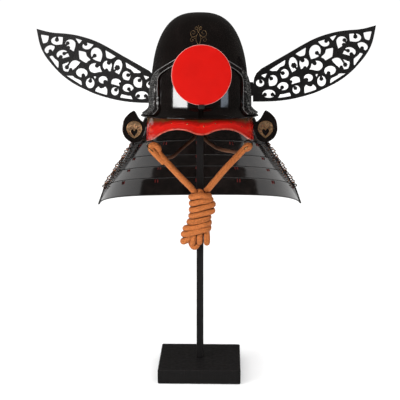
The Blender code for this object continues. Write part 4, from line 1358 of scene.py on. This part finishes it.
class KABUTO_OT_rings(Operator):
    """Make the wire rings that the cords pass through, and finish their lugs"""

    bl_idname = "kabuto.rings"
    bl_label = "Rings"

    def execute(self, context):
        for name, centre in RINGS.items():
            line = circle(centre, (RING_RADIUS, 0, 0), (0, 0, RING_RADIUS), 48)
            ring = Form().tube(line, RING_WIRE, sides=12, closed=True)
            ring.object(f"wire_ring_{name}", "ring_iron", helmet=False, replaces=(f"cord_ring_{name}",))
        for name, (centre, lean) in CLASPS.items():
            across = np.array((1, 0, lean)) / math.hypot(1, lean)
            hoop = circle(centre, across * CLASP_RADIUS, (0, CLASP_RADIUS, 0), 24)
            hoop = Form().tube(hoop, CLASP_WIRE, closed=True)
            hoop.object(f"cord_clasp_{name}", "rivet_brass", slot="gilt", helmet=False)
            dressed(f"ring_lug_{name}", "ring_iron", 0.0004)
        return {"FINISHED"}


# Where the scrolls are, as an angle and a height on the bowl, the bowl's radius there and the line's own
SCROLL_PLACE, SCROLL_BEND, SCROLL_LINE = (math.radians(-3), 0.148), 0.085, 0.00045
# Each scroll's middle, size, first angle and turns, and the points of the leaves between them
SCROLLS = [
    (0.011, 0.004, 0.0085, -150, 1.35), (0.012, -0.010, 0.0060, 160, -1.2), (0.005, 0.015, 0.0045, -170, 1.1),
]
SCROLL_LEAVES = [
    [(0.001, -0.019), (0.004, -0.013), (0.0045, -0.005), (0.002, 0.003)],
    [(0, 0.020), (0.0022, 0.014), (0.0022, 0.010), (0, 0.004)],
]


class KABUTO_OT_scrolls(Operator):
    """Inlay the thin leaf scrolls on the front of the bowl"""

    bl_idname = "kabuto.scrolls"
    bl_label = "Scrolls"

    def execute(self, context):
        form = Form()
        for side in (-1, 1):
            for out, up, size, start, turns in SCROLLS:
                points = []
                for k in range(15):
                    t = k / 14
                    turn = math.radians(start + 360 * turns * t)
                    radius = size * (1 - 0.86 * t)
                    points.append((side * (out + radius * math.cos(turn)), up + radius * math.sin(turn)))
                self.line(form, points)
            for leaf in SCROLL_LEAVES:
                self.line(form, [(side * across, up) for across, up in leaf])
        form.object("bowl_scrolls", "scroll_gilt", slot="gilt")
        return {"FINISHED"}

    def line(self, form, points):
        """An inlaid line through (across, up) points about the scrolls' middle on the bowl."""
        angle, height = SCROLL_PLACE
        line = [bowl_point(angle + x / SCROLL_BEND, height + up, 0.0002) for x, up in smooth_rows(points, 4)]
        form.tube(line, SCROLL_LINE, 6)


class KABUTO_OT_stand(Operator):
    """Finish the stand's base, post and rest"""

    bl_idname = "kabuto.stand"
    bl_label = "Stand"

    def execute(self, context):
        for name, bevel in (("base", 0.0008), ("post", 0.0006), ("seat", 0.0010)):
            dressed(f"stand_{name}", "stand_black", bevel)
        return {"FINISHED"}


class KABUTO_PT_sidebar(Panel):
    """Lists the helmet's settings and pieces"""

    bl_idname = "KABUTO_PT_sidebar"
    bl_label = "Kabuto"
    bl_space_type = "VIEW_3D"
    bl_region_type = "UI"
    bl_category = "Kabuto"

    def draw(self, context):
        kabuto = context.scene.kabuto
        for group in (kabuto.finishes, kabuto.cords, kabuto.helmet, kabuto.studio):
            box = self.layout.box()
            for name in group.bl_rna.properties.keys():
                if name not in {"rna_type", "name"}:
                    box.prop(group, name)
        for operator in OPERATORS:
            self.layout.operator(operator.bl_idname)


OPERATORS = (
    KABUTO_OT_studio,
    KABUTO_OT_chin_cord,
    KABUTO_OT_rear_cord,
    KABUTO_OT_bowl,
    KABUTO_OT_brow_band,
    KABUTO_OT_brow_plate,
    KABUTO_OT_crest,
    KABUTO_OT_scrolls,
    KABUTO_OT_wings,
    KABUTO_OT_turnbacks,
    KABUTO_OT_neck_guard,
    KABUTO_OT_lacing,
    KABUTO_OT_rings,
    KABUTO_OT_stand,
)
CLASSES = (KabutoFinishes, KabutoCords, KabutoHelmet, KabutoStudio, KabutoSettings, KABUTO_PT_sidebar) + OPERATORS


def register():
    for made in CLASSES:
        bpy.utils.register_class(made)
    bpy.types.Scene.kabuto = PointerProperty(type=KabutoSettings)


def unregister():
    del bpy.types.Scene.kabuto
    for made in reversed(CLASSES):
        bpy.utils.unregister_class(made)


def main():
    register()
    bpy.ops.kabuto.studio()
    bpy.ops.kabuto.chin_cord()
    bpy.ops.kabuto.rear_cord()
    bpy.ops.kabuto.bowl()
    bpy.ops.kabuto.brow_band()
    bpy.ops.kabuto.brow_plate()
    bpy.ops.kabuto.crest()
    bpy.ops.kabuto.scrolls()
    bpy.ops.kabuto.wings()
    bpy.ops.kabuto.turnbacks()
    bpy.ops.kabuto.neck_guard()
    bpy.ops.kabuto.lacing()
    bpy.ops.kabuto.rings()
    bpy.ops.kabuto.stand()


if __name__ == "__main__":
    main()
